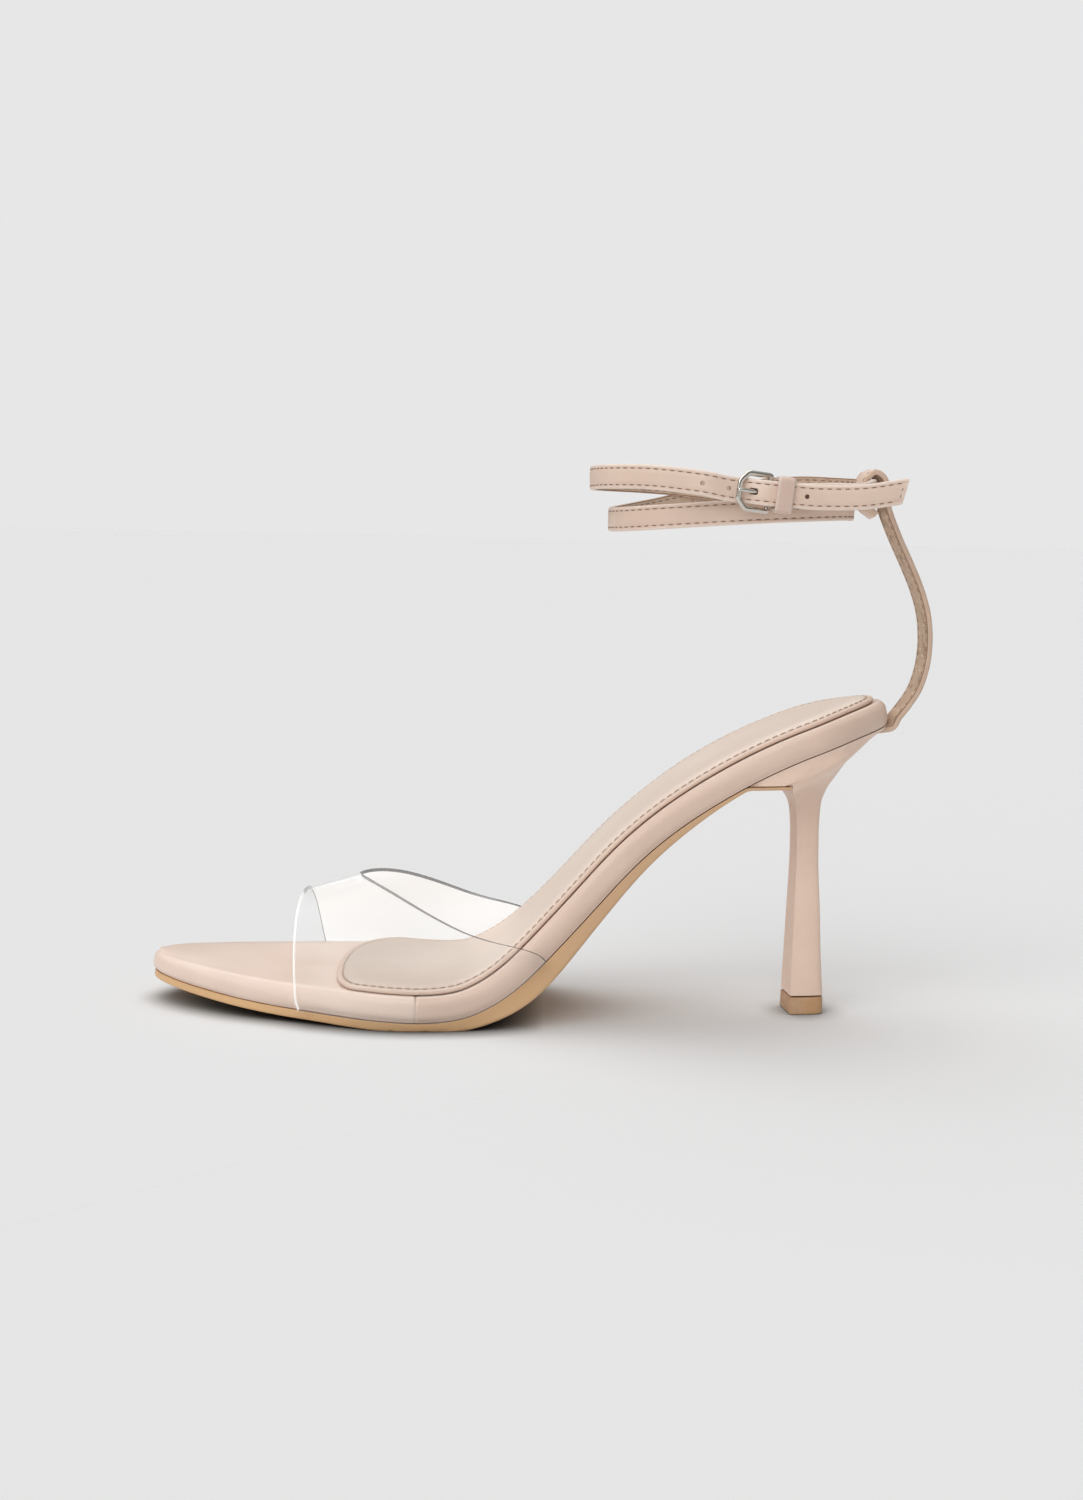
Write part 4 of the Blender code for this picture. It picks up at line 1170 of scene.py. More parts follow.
class SandalPlatform(bpy.types.Operator):
    """Builds the toe cover and the rand that wrap the platform, and dresses its board"""

    bl_idname = "sandal.platform"
    bl_label = "Wrapped Platform"

    def execute(self, context):
        toe, blush = leather("toe_leather"), leather("blush_leather")
        self.toe_cover(toe)
        self.rand(blush)
        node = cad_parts["insole_board"]
        node.data.materials.clear()
        node.data.materials.append(lining("pressed_board"))
        return {"FINISHED"}

    def skins(self, shares, seam_share, shared):
        """Both sides' surfaces, that meet at the tip or at the back."""
        sides = [cover_skins(side, shares, seam_share) for side in (-1, 1)]
        for near, far in zip(*sides):
            merge_ends(near, far, (slice(None), shared))
        return sides

    def toe_cover(self, finish):
        end = SEAM_AT - SEAM_HALF
        shares = np.union1d(stations(0.0, end, 90), [end - step for step in SEAM_STEPS] + [end])
        (near_out, near_in), (far_out, far_in) = self.skins(shares, end, 0)
        rows = list(zip(near_out, far_out))
        fade = np.clip((TOE_CROWN_END - shares) / TOE_CROWN_RUN, 0.0, 1.0)
        lift = bed_normal(shares)
        base = rows[-1]
        middle = (base[0] + base[1]) / 2
        for keep, crown in TOE_CROWN:
            raised = lift * (crown * fade)[:, None]
            rows.append([middle + (line - middle) * keep + raised for line in base])
        rings = Rings()
        outer = [(rings.row(near), rings.row(far)) for near, far in rows]
        inner = [(rings.row(near), rings.row(far)) for near, far in zip(near_in, far_in)]
        for pairs in (outer, inner):
            for (near, far), (next_near, next_far) in zip(pairs, pairs[1:]):
                rings.strip(near, next_near)
                rings.strip(next_far, far)
            rings.strip(pairs[-1][0], pairs[-1][1])
        for which in (0, 1):
            rings.strip(outer[0][which], inner[0][which])
            outer_end = [pair[which][-1] for pair in outer]
            inner_end = [pair[which][-1] for pair in inner] + [inner[-1][which][-1]] * len(TOE_CROWN)
            rings.strip(outer_end, inner_end)
        rings.face(outer[-1][0][-1], outer[-1][1][-1], inner[-1][1][-1], inner[-1][0][-1])
        make_piece("toe_cover_leather", rings, [finish], ["toe_cover"], sharp=55.0)

    def rand(self, finish):
        start = SEAM_AT + SEAM_HALF
        shares = np.union1d(stations(start, 1.0, 170), [start + step for step in SEAM_STEPS])
        (near_out, near_in), (far_out, far_in) = self.skins(shares, start, -1)
        sections = [np.vstack([near_out[:, i], near_in[::-1, i]]) for i in range(len(shares))]
        sections += [np.vstack([far_out[:, i], far_in[::-1, i]]) for i in range(len(shares) - 2, -1, -1)]
        make_piece("rand_leather", swept(sections), [finish], ["rand"], sharp=55.0)


# Padded sock

def sock_outline(side, count):
    """One side of the sock's edge, along and across the sole, from its slanting front end to its back."""
    shares = SOCK_FRONT + (1 - SOCK_FRONT) * (1 - np.cos(np.linspace(0.0, math.pi, 1200))) / 2
    along, across = edge(side, shares, SOCK_INSET)
    front = np.clip((shares - SOCK_FRONT) / SOCK_FRONT_REACH[side], 0.0, 1.0)
    swell = (1 - (1 - front) ** SOCK_FRONT_POWER) ** (1 / SOCK_FRONT_POWER)
    middle = TOE_SWING * (1 - SOCK_FRONT) ** 2 - SOCK_FRONT_SET * BALL_WIDTH
    line = np.stack([np.maximum(along, SOCK_FRONT * SOLE_ARC), middle + (across - middle) * swell], axis=1)
    length = lengths_of(line)
    places = np.linspace(0.0, length[-1], count)
    return np.stack([np.interp(places, length, column) for column in line.T], axis=1)


def sock_inward(loop):
    """Directions into the sock, square to its edge, evened out a little round its corners."""
    way = unit(np.roll(loop, -1, axis=0) - np.roll(loop, 1, axis=0))
    inward = np.stack([-way[:, 1], way[:, 0]], axis=1)
    for _ in range(6):
        inward = unit(np.roll(inward, 1, axis=0) + 2 * inward + np.roll(inward, -1, axis=0))
    return inward


SOCK_PADDING = (
    # share of the way from the last edge row to the spine, height as a share of the pad's
    (0.08, 0.985),
    (0.17, 1.0),
    (0.30, 1.0),
    (0.50, 0.99),
    (0.70, 0.98),
    (0.88, 0.975),
)
SOCK_FLANGE = 7
SPINE_FRONT = 22.0
SPINE_BACK = 20.0
INNER_RIM_RUN = 16.0
INNER_RIM = 0.72
SOCK_FRONT_SHADE_SPAN = (-0.092, -0.106)


def sock_edge_rows(seam):
    """Inset in mm and height as a share of the pad's, from the sock's lower edge in over its seam."""
    flange = [(0.45, 0.0), (0.08, 0.12), (0.0, 0.28), (0.10, 0.42), (0.35, 0.53), (0.75, 0.58)]
    rise = [(-0.4, 0.58), (0.0, 0.50), (0.35, 0.64), (0.8, 0.76), (1.6, 0.87), (2.6, 0.95)]
    return flange + [(seam + step, part) for step, part in rise]


class SandalSock(bpy.types.Operator):
    """Builds the padded sock with its sewn channel"""

    bl_idname = "sandal.sock"
    bl_label = "Padded Sock"
    count = 230

    def execute(self, context):
        look = looks()
        sewing = context.scene.sandal_sewing
        seam = sewing.sock_inset / MM
        finish = leather("sock_leather")
        self.dull_front(finish, look)
        near, far = (sock_outline(side, self.count) for side in (-1, 1))
        merge_ends(near, far, 0)
        merge_ends(near, far, -1)
        loop = np.vstack([near, far[-2:0:-1]])
        inward = sock_inward(loop)
        edge_rows = sock_edge_rows(seam)
        rows = [self.raised(loop + inward * inset, part) for inset, part in edge_rows]
        base = loop + inward * edge_rows[-1][0]
        middle = (near + far) / 2
        spine = np.clip(middle[:, 0], near[0, 0] + SPINE_FRONT, near[-1, 0] - SPINE_BACK)
        spine = np.stack([spine, np.interp(spine, middle[:, 0], middle[:, 1])], axis=1)
        spine = np.vstack([spine, spine[-2:0:-1]])
        for pull, part in SOCK_PADDING:
            rows.append(self.raised(base + (spine - base) * pull, part))
        rings = Rings()
        pairs = [rings.row(row) for row in rows]
        for number, (first, second) in enumerate(zip(pairs, pairs[1:])):
            # The lower rows, the sock's side and rim, take the darker rim leather: painted shade.
            finishes = [int(number < SOCK_FLANGE)] * len(first)
            rings.strip(first + first[:1], second + second[:1], finishes)
        for row in (pairs[0], pairs[-1]):
            rings.strip(row[: self.count], row[:1] + row[: self.count - 2 : -1])
        finishes = [finish, leather("sock_edge")]
        item = make_piece("sock_leather", rings, finishes, ["sock_pad"], sharp=60.0)
        self.stitches(loop + inward * (seam + 0.15), sewing, look)
        return {"FINISHED"}

    def dull_front(self, finish, look):
        """Painted shade: the sock is darker and greyer under the vamp, where it lies in shade."""
        wiring = Wiring(finish.node_tree)
        shader = finish.node_tree.nodes["Principled BSDF"]
        colour = shader.inputs["Base Color"].links[0].from_socket
        front = wiring.spread(wiring.axes()["X"], *SOCK_FRONT_SHADE_SPAN)
        dull = wiring.mix(1.0, colour, opaque(look.sock_front), "MULTIPLY")
        wiring.put(shader, "Base Color", wiring.mix(front, colour, dull))

    def raised(self, places, part):
        """Points over the platform, at a share of the pad's height; the inner side's rim stands higher."""
        along, across = places.T
        inner_side = np.clip(across / INNER_RIM_RUN, 0.0, 1.0)
        part = part + inner_side * INNER_RIM * np.clip(1 - part, 0.0, 0.6) * min(part / 0.4, 1.0)
        return bed(along, across, platform(along / SOLE_ARC) + CLEAR + part * SOCK)

    def stitches(self, seam_line, sewing, look):
        line = self.raised(np.vstack([seam_line, seam_line[:1]]), 0.66)
        lift = bed_normal(np.append(seam_line[:, 0], seam_line[0, 0]) / SOLE_ARC)
        way = unit(np.gradient(line, axis=0))
        rings = Rings()
        sew(
            rings, line, way, np.cross(way, lift), lift, sewing.pitch / MM, sewing.stitch / MM * 1.15,
            sewing.thickness / MM,
        )
        make_piece("sock_stitches", rings, [thread("sock_thread", look.sock_thread)])


# Clear vamp

def vamp_point(reach, turn):
    """A point of the vamp: reach is 0 at its front edge and 1 at its throat, turn 0 at its near foot."""
    side = -1 if turn < math.pi / 2 else 1
    lift = max(math.sin(turn), 0.0) ** VAMP_FOLD
    wide = abs(math.cos(turn)) ** VAMP_FOLD
    foot = VAMP_FRONT + side * VAMP_SKEW * (1 - reach) + (VAMP_BACK - VAMP_FRONT) * reach
    ridge = VAMP_RIDGE_FRONT + (VAMP_RIDGE_BACK - VAMP_RIDGE_FRONT) * reach
    front_sweep = lift**0.4
    climb = 1 - abs(1 - turn / (math.pi / 2))
    throat_sweep = 0.75 * climb**0.85 + 0.25 * max(math.sin(turn), 0.0) ** 1.3
    share = foot + (ridge - foot) * (front_sweep + (throat_sweep - front_sweep) * reach**0.6)
    along, across = edge(side, share, -VAMP_STAND - VAMP_WALL / 2)
    middle = TOE_SWING * (1 - share) ** 2
    place = bed(along, middle + (across - middle) * wide, CLEAR)
    place[2] += (VAMP_FRONT_RISE + (VAMP_RISE - VAMP_FRONT_RISE) * reach) * lift
    return place


VAMP_ROWS = 30
VAMP_COLUMNS = 91
VAMP_CENTRE = np.array([-115.0, 3.0, 0.0])
FAR_PAINTED_GLOW = (0.35, 0.38, 0.40, 1.0)
# Painted highlight, glow and shade of the sheet's cut rims.
RIM_PAINTED_GLOW = (0.3, 0.3, 0.3, 1.0)
RIM_PAINTED_HIGHLIGHT = ((0.93, 0.94, 0.93, 1.0), (1.0, 1.0, 1.0, 1.0))
RIM_FAR_PAINTED_SHADE = (0.16, 0.16, 0.15, 1.0)
THROAT_PAINTED_SHADE = ((0.10, 0.095, 0.09, 1.0), (0.18, 0.17, 0.165, 1.0))
REFLECTION_VEIL_LEVELS = (0.0175, 0.0215)
REFLECTION_VEIL_RISE = 0.03
FAR_SPAN = (-0.008, 0.012)
RIM_FAR_SPAN = (0.000, 0.006)
RIM_GRAIN = 1500.0


class SandalVamp(bpy.types.Operator):
    """Builds the clear arched vamp, with painted highlight and painted shade on its edges"""

    bl_idname = "sandal.clear_vamp"
    bl_label = "Clear Vamp"

    def execute(self, context):
        reaches = np.linspace(0.0, 1.0, VAMP_ROWS)
        turns = np.linspace(0.0, math.pi, VAMP_COLUMNS)
        turns[VAMP_COLUMNS // 2] = math.pi / 2
        sheet = np.array([[vamp_point(reach, turn) for turn in turns] for reach in reaches])
        front = sheet[0] + unit(sheet[1] - sheet[0]) * VAMP_RIM
        throat = sheet[-1] + unit(sheet[-2] - sheet[-1]) * VAMP_RIM
        sheet = np.concatenate([sheet[:1], front[None], sheet[1:-1], throat[None], sheet[-1:]])
        along = np.gradient(sheet, axis=0)
        round_way = np.gradient(sheet, axis=1)
        out = unit(np.cross(along, round_way))
        out *= np.sign(np.sum(out * (sheet - VAMP_CENTRE), axis=-1))[..., None]
        rings = Rings()
        outer = [rings.row(row) for row in sheet + out * VAMP_WALL / 2]
        inner = [rings.row(row) for row in sheet - out * VAMP_WALL / 2]
        for side, clear in ((outer, 0), (inner, 3)):
            for number, (first, second) in enumerate(zip(side, side[1:])):
                finish = {0: 1, len(side) - 2: 2}.get(number, clear)
                rings.strip(first, second, [finish] * len(turns))
        for row, finish in ((0, 1), (-1, 2)):
            rings.strip(outer[row], inner[row], [finish] * len(turns))
        for column in (0, -1):
            rings.strip([row[column] for row in outer], [row[column] for row in inner], [2] * len(sheet))
        finishes = [
            self.clear_sheet("clear_sheet", False), self.front_edge(), self.throat_edge(),
            self.clear_sheet("clear_sheet_inside", True),
        ]
        make_piece("clear_vamp", rings, finishes, ["vamp"], sharp=50.0)
        return {"FINISHED"}

    def clear_sheet(self, name, inside):
        """Clear sheet, whitened above the sole's level by a painted reflection; its inner side also veils the
        far half with painted reflection and a painted glow, where its front faces the eye.
        """
        look = looks()
        finish, wiring, shader = blank_finish(name, 0.05)
        if wiring is None:
            return finish
        spot = wiring.axes()
        # Painted reflection: the sheet is whiter and less clear above the sole's level.
        reflection_veil = wiring.spread(spot["Z"], *REFLECTION_VEIL_LEVELS, look.near_haze, look.near_haze + REFLECTION_VEIL_RISE)
        if inside:
            far = wiring.spread(spot["Y"], *FAR_SPAN)
            front_facing = wiring.math("SUBTRACT", 1.0, wiring.add("ShaderNodeNewGeometry").outputs["Backfacing"])
            far_reflection_and_glow = wiring.math("MULTIPLY", far, front_facing)
            reflection_veil = wiring.math("MULTIPLY_ADD", far_reflection_and_glow, look.far_haze, reflection_veil, clamp=True)
            # Painted glow on the inner side of the far half.
            wiring.put(shader, "Emission Color", wiring.mix(far_reflection_and_glow, BLACK, FAR_PAINTED_GLOW))
            shader.inputs["Emission Strength"].default_value = 1.0
        # Painted reflection: the sheet is whiter where it is seen edge-on.
        rim = wiring.add("ShaderNodeLayerWeight", Blend=0.35)
        reflection_veil = wiring.math("MULTIPLY_ADD", rim.outputs["Facing"], 0.07, reflection_veil, clamp=True)
        haze = wiring.noise(60.0, 3.0, wiring.place())
        reflection_veil = wiring.swing(haze, 0.03, reflection_veil)
        wiring.put(shader, "Base Color", opaque(look.sheet))
        wiring.put(shader, "Alpha", reflection_veil)
        wiring.put(shader, "Roughness", wiring.spread(haze, 0.3, 0.8, 0.03, 0.10))
        raise_bump(wiring, shader, wiring.noise(45.0, 2.0, wiring.place()), 1.2, 0.12)
        return finish

    def front_edge(self):
        """Front rim of the sheet: a painted highlight with a painted glow on the near half, and painted shade
        on the far one.
        """
        finish, wiring, shader = blank_finish("vamp_front_edge", 0.12)
        if wiring is None:
            return finish
        grain = wiring.noise(RIM_GRAIN, 2.0, wiring.place())
        far = wiring.spread(wiring.axes()["Y"], *RIM_FAR_SPAN)
        wiring.put(shader, "Base Color", wiring.mix(far, wiring.mix(grain, *RIM_PAINTED_HIGHLIGHT), RIM_FAR_PAINTED_SHADE))
        wiring.put(shader, "Emission Color", wiring.mix(far, RIM_PAINTED_GLOW, BLACK))
        shader.inputs["Emission Strength"].default_value = 1.0
        shader.inputs["Alpha"].default_value = 0.6
        return finish

    def throat_edge(self):
        """Rim of the sheet at its throat, dark grey as painted shade."""
        finish, wiring, shader = blank_finish("vamp_throat_edge", 0.12)
        if wiring is None:
            return finish
        grain = wiring.noise(RIM_GRAIN, 2.0, wiring.place())
        wiring.put(shader, "Base Color", wiring.mix(grain, *THROAT_PAINTED_SHADE))
        shader.inputs["Alpha"].default_value = 0.75
        return finish


# Heel and its tip

def heel_ring(front, back, half, seat, near_far, count):
    """One section of the heel, from its near front corner round the back to its far front corner."""
    turns = np.linspace(0.0, math.pi / 2, count)
    round_power = 2 / (6 - 4 * seat)
    ring = []
    for side, order in ((-1, turns), (1, turns[-2::-1])):
        for turn in order:
            depth = math.sin(turn) ** round_power
            block = half * max(math.cos(turn), 0.0) ** round_power
            share = LIP_SHARE + (1 - LIP_SHARE) * depth
            outline = abs(near_far(side, share)) * half
            across = side * (block * (1 - seat) + outline * seat)
            place = front + (back - front) * depth
            ring.append(np.array([place[0], across, place[1]]))
    return ring


def seat_form(side, share):
    """Half width of the seat at a share of the sole's length, with the widest part as 1."""
    return edge(side, share, 0.0)[1] / (SEAT_FULL * SEAT_WIDTH)


def turned(ring, degrees):
    """Ring turned about the upright axis."""
    turn = math.radians(degrees)
    spin = np.array([[math.cos(turn), math.sin(turn), 0], [-math.sin(turn), math.cos(turn), 0], [0, 0, 1]])
    return [point @ spin for point in ring]


TIP_WORN = (0.62, 0.43, 0.28, 1.0)
TIP_CREASE_SHADE = (0.2, 0.1, 0.05, 1.0)
TIP_FRONT = 0.50
TIP_BACK = 0.57
TIP_ROWS = (
    # level it is measured from: 0 the floor, 1 the tip's top; height over that in mm, size
    (0, 0.0, 0.93),
    (0, 0.06, 0.965),
    (0, 0.3, 0.998),
    (0, 0.6, 1.0),
    (1, -0.5, 0.985),
    (1, -0.15, 0.975),
    (1, 0.0, 0.95),
)
SEAT_BLOCK = 0.95
SEAT_BACK_RISE = 0.962
STEM_ROWS = 72
UNDER_BLEND = 8.0
UNDER_LEAD = 2.0
POCKET_HALF = 4.1
POCKET_DEEP = 1.2


class SandalHeel(bpy.types.Operator):
    """Builds the leather covered heel and its tip"""

    bl_idname = "sandal.heel"
    bl_label = "Heel and Tip"
    count = 21

    def execute(self, context):
        finish = leather("heel_leather")
        seat = float(BED_Z[-1])
        sections = []
        for low, high, front, back, wide, form in HEEL_ROWS:
            ring = heel_ring(
                np.array([front * TIP_LENGTH, low * seat]), np.array([back * TIP_LENGTH, high * seat]),
                wide * TIP_WIDTH / 2, form, seat_form, self.count,
            )
            sections.append(turned(ring, HEEL_TURN * (1 - form)))
        sections.append(
            heel_ring(
                np.array([BREAST_X + CLEAR, lip_level(BREAST_X)]),
                np.array([HEEL_SET - SEAT_ROUND, SEAT_BACK_RISE * seat]),
                SEAT_BLOCK * (SEAT_WIDTH / 2 - SEAT_STEP), SEAT_BLOCK, seat_form, self.count,
            )
        )
        for drop in (SEAT_STEP, 0.0):
            sections.append(self.seat_ring(drop))
        sections = np.array(sections)
        stem = len(HEEL_ROWS)
        block, seat_edge = sections[stem], sections[stem + 1]
        body = smooth_rows(np.arange(stem + 1), sections[: stem + 1], np.linspace(0.0, stem, STEM_ROWS))
        under = seat_edge.copy()
        back = np.clip((under[:, 0] - BREAST_X + UNDER_LEAD) / UNDER_BLEND, 0.0, 1.0)
        level = lip_level(under[:, 0])
        under[:, 2] = level + (under[:, 2] - level) * back**2 * (3 - 2 * back)
        lip = [block + (under - block) * share for share in (0.25, 0.5, 0.75, 1.0)]
        wall = [under + (seat_edge - under) * share for share in (0.5, 1.0)]
        rows = np.concatenate([body, lip, wall, sections[stem + 2 :]])
        item = make_piece("heel_cover", swept(rows), [finish], ["heel"], sharp=70.0)
        root = counter_line(3)[:12]
        profile = [(POCKET_HALF, -POCKET_DEEP), (POCKET_HALF, POCKET_DEEP)]
        profile += [(-POCKET_HALF, POCKET_DEEP), (-POCKET_HALF, -POCKET_DEEP)]
        line = np.vstack([[root[0] * 2 - root[1]], root])
        pocket = swept(strap_sections(line, ribbon_frames(line, COUNTER_ACROSS), profile))
        carve(item, [(pocket, finish)])
        self.tip()
        return {"FINISHED"}

    def seat_ring(self, drop):
        """Section of the seat that follows the sole's edge, so far below the platform."""
        ring = []
        for point in heel_ring(np.zeros(2), np.array([1.0, 0.0]), 1.0, 1.0, seat_form, self.count):
            share = LIP_SHARE + (1 - LIP_SHARE) * point[0]
            side = -1 if point[1] < 0 or len(ring) < self.count else 1
            along, across = edge(side, share, SEAT_INSET + drop / 2)
            place = bed(along, across if point[0] < 0.999 else 0.0, -CLEAR - drop)
            place[2] = max(place[2], lip_level(place[0]) if place[0] < BREAST_X else 0.0)
            ring.append(place)
        return ring

    def tip_finish(self):
        look = looks()
        finish, wiring, shader = blank_finish("tip_rubber", 0.55)
        if wiring is None:
            return finish
        grained = grain_of(wiring, look.tip, look.sole, 0.5, 2600.0, 0.55)
        # Lighter worn rims, and painted shade in the tip's hollows.
        worn = use_group(
            wiring, edge_wear_group(), Colour=grained["Colour"], Worn_Colour=TIP_WORN,
            Crease_Colour=TIP_CREASE_SHADE, Wear=0.6, Crease=0.3,
        )
        wiring.put(shader, "Base Color", worn.outputs["Colour"])
        wiring.put(shader, "Roughness", grained["Roughness"])
        raise_bump(wiring, shader, grained["Height"], 0.04, 0.5)
        return finish

    def tip(self):
        top = TIP_HEIGHT - 0.25 * CLEAR
        sections = []
        for level, over, size in TIP_ROWS:
            front, back = (
                np.array([reach * TIP_LENGTH * size, level * top + over]) for reach in (-TIP_FRONT, TIP_BACK)
            )
            ring = heel_ring(front, back, size * TIP_WIDTH / 2, 0.0, seat_form, self.count)
            sections.append(turned(ring, HEEL_TURN))
        finishes = [self.tip_finish()]
        make_piece("heel_tip_rubber", swept(sections), finishes, ["heel_tip"], sharp=45.0)


# Back strap

SEAT_BACK = bed(SOLE_ARC, 0.0, 0.0)
COUNTER_TURN = math.radians(COUNTER_TWIST)
COUNTER_ACROSS = np.array([-math.sin(COUNTER_TURN), math.cos(COUNTER_TURN), 0.0])
LOOP_MIDDLE = SEAT_BACK + np.array([-LOOP_LEAN, 0.0, LOOP_RISE])


def counter_line(steps):
    """Centre line of the back strap, from under the platform up to its loop and round that."""
    root = [bed(SOLE_ARC - COUNTER_ROOT * pull, 0.0, -CLEAR - COUNTER / 2) for pull in (1.0, 0.5)]
    rise = [SEAT_BACK + np.array([bow * COUNTER_BOW, 0.0, up * COUNTER_RISE]) for bow, up in COUNTER_PATH]
    loop = [LOOP_MIDDLE + np.array([deep * LOOP_DEPTH, 0.0, up * STRAP_WIDTH]) for deep, up in LOOP_PATH]
    return path_through(root + rise + loop, steps)


STITCH_PROUD = 0.05
GROOVE = 0.3
COUNTER_SEWN = slice(30, -4)


class SandalBackStrap(bpy.types.Operator):
    """Builds the lined back strap with its sewn loop"""

    bl_idname = "sandal.back_strap"
    bl_label = "Back Strap"

    def execute(self, context):
        sewing = context.scene.sandal_sewing
        inset = sewing.inset / MM
        line = counter_line(10)
        frames = ribbon_frames(line, COUNTER_ACROSS)
        profile, finishes = strap_profile(COUNTER_WIDTH, COUNTER, inset, GROOVE, lining_out=True)
        rings = swept(strap_sections(line, frames, profile), finishes)
        materials = [leather("strap_leather"), leather("back_strap_edge")]
        materials += [lining("counter_lining"), lining("raw_leather_line")]
        make_piece("counter_strap_leather", rings, materials, ["counter_strap"], sharp=50.0)
        stitches = Rings()
        line, way, up, out = (part[COUNTER_SEWN] for part in (line, *frames))
        sizes = (sewing.pitch / MM, sewing.stitch / MM, sewing.thickness / MM)
        for side in (-1, 1):
            for face in (-1, 1):
                reach, lift = side * (COUNTER_WIDTH / 2 - inset), face * (COUNTER / 2 - STITCH_PROUD)
                sew(stitches, line + up * reach + out * lift, way, up, out * face, *sizes)
        make_piece("counter_strap_stitches", stitches, [thread("strap_thread", looks().thread)])
        return {"FINISHED"}


# Ankle strap

LAYER = STRAP + LAYER_GAP
EYE_RADIUS = WIRE / 2 + CLEAR + STRAP / 2
NEAR_SIDE = -0.5 * ANKLE_WIDTH
RETURN_Y = NEAR_SIDE - STRAP - KEEPER_WALL - 2 * CLEAR - KEEPER_SLACK
HINGE_Y = RETURN_Y - LAYER / 2
MAIN_Y = RETURN_Y - LAYER
FREE_Y = HINGE_Y - EYE_RADIUS - STRAP - CLEAR
LAYER_OUT = {"wrap": 0.0, "rising": 0.4 * (MAIN_Y - NEAR_SIDE), "main": MAIN_Y - NEAR_SIDE}
FREE_Y_AT = {"main": MAIN_Y, "free": FREE_Y, "end": FREE_Y + FREE_LEAN / 6, "tip": FREE_Y + FREE_LEAN}
LEVEL = LOOP_MIDDLE[2] - LOOP_LAYER * WRAP_STEP
HINGE = np.array([LOOP_MIDDLE[0] - BUCKLE_AT * ANKLE_LENGTH, HINGE_Y, LEVEL + BUCKLE_RISE * WRAP_STEP])
STRAP_FALL = math.radians(BUCKLE_FALL)
FRAME_LIFT = HINGE_Y - MAIN_Y + STRAP / 2 + 2 * CLEAR + WIRE / 2
FRAME_TILT = math.asin(FRAME_LIFT / (FRAME_LENGTH - FRAME_CORNER / 2))
LEFTWARD = np.array([-math.cos(STRAP_FALL), 0.0, math.sin(STRAP_FALL)])
UPWARD = np.array([math.sin(STRAP_FALL), 0.0, math.cos(STRAP_FALL)])
OUTWARD = np.array([0.0, -1.0, 0.0])
FRAME_WAY = LEFTWARD * math.cos(FRAME_TILT) + OUTWARD * math.sin(FRAME_TILT)
FRAME_OUT = OUTWARD * math.cos(FRAME_TILT) - LEFTWARD * math.sin(FRAME_TILT)


def ankle_point(along, across, layer, rise):
    """A point of the wraps, from shares of their length, width and step."""
    x = LOOP_MIDDLE[0] + along * ANKLE_LENGTH
    return np.array([x, across * ANKLE_WIDTH + LAYER_OUT[layer], LEVEL + rise * WRAP_STEP])


def free_point(leftward, up, layer):
    """A point of the free end, in millimetres from the hinge bar."""
    place = HINGE + LEFTWARD * leftward + UPWARD * up
    return np.array([place[0], FREE_Y_AT[layer], place[2]])


HOLE_SIDES = 24
HOLE_REACH = 1.3
EYE_IN = (
    # distance back from the hinge bar in mm, distance out as shares of half a layer and of the eye's radius
    (9.0, -1.0, 0.0),
    (5.0, -1.0, 0.0),
    (2.2, 0.0, -0.8),
)
EYE_OUT = (
    (2.2, 0.0, 0.8),
    (5.0, 1.0, 0.0),
)
EYE_TURNS = (-90, -45, 0, 45, 90)


def ankle_line(steps):
    """Centre line of the ankle strap: its eye round the buckle's hinge bar, two wraps and the free end."""
    into, away = (
        [
            HINGE - LEFTWARD * reach + OUTWARD * (layer * LAYER / 2 + eye * EYE_RADIUS)
            for reach, layer, eye in rows
        ]
        for rows in (EYE_IN, EYE_OUT)
    )
    bend = [
        HINGE + (LEFTWARD * math.cos(turn) + OUTWARD * math.sin(turn)) * EYE_RADIUS
        for turn in np.radians(EYE_TURNS)
    ]
    route = [ankle_point(*row) for row in ANKLE_ROUTE] + [free_point(*row) for row in FREE_ROUTE]
    return path_through(into + bend + away + route, steps)


def prong_slot():
    """Slot through the eye and the hole in the free end: the room that the prong takes, seen from above."""
    deep = EYE_RADIUS + STRAP / 2 + 0.5 * CLEAR
    lift = math.tan(FRAME_TILT)
    middle = (WIRE / 2 + CLEAR + PRONG / 2) / math.cos(FRAME_TILT)
    half = (PRONG / 2 + CLEAR) / math.cos(FRAME_TILT)
    far = FRAME_LENGTH - WIRE
    meets = (deep - middle - half) / lift
    near = EYE_RADIUS + STRAP
    outline = [(-SLOT_BACK, -deep), (near, -deep), (near, middle - half + lift * near)]
    outline += [(far, middle - half + lift * far), (far, middle + half + lift * far)]
    outline += [(meets, deep), (-SLOT_BACK, deep)]
    ends = [HINGE + UPWARD * end * (PRONG / 2 + CLEAR) for end in (-1, 1)]
    return tube([[place + LEFTWARD * a + OUTWARD * b for a, b in outline] for place in ends])


def round_hole(middle, axis, diameter):
    """A short round cutter."""
    side = unit(np.cross(axis, [0.0, 0.0, 1.0]))
    up = np.cross(side, axis)
    turns = np.arange(HOLE_SIDES) * 2 * math.pi / HOLE_SIDES
    spokes = [(side * math.cos(t) + up * math.sin(t)) * diameter / 2 for t in turns]
    ends = [middle + axis * reach for reach in (-HOLE_REACH, HOLE_REACH)]
    return tube([[place + spoke for spoke in spokes] for place in ends])


SLANT_ROWS = 6
END_SEAM_BACK = 1.3
END_SEAM_LIFT = 0.04
END_SEAM_PITCH = 1.9
END_SEAM_STITCH = 1.2


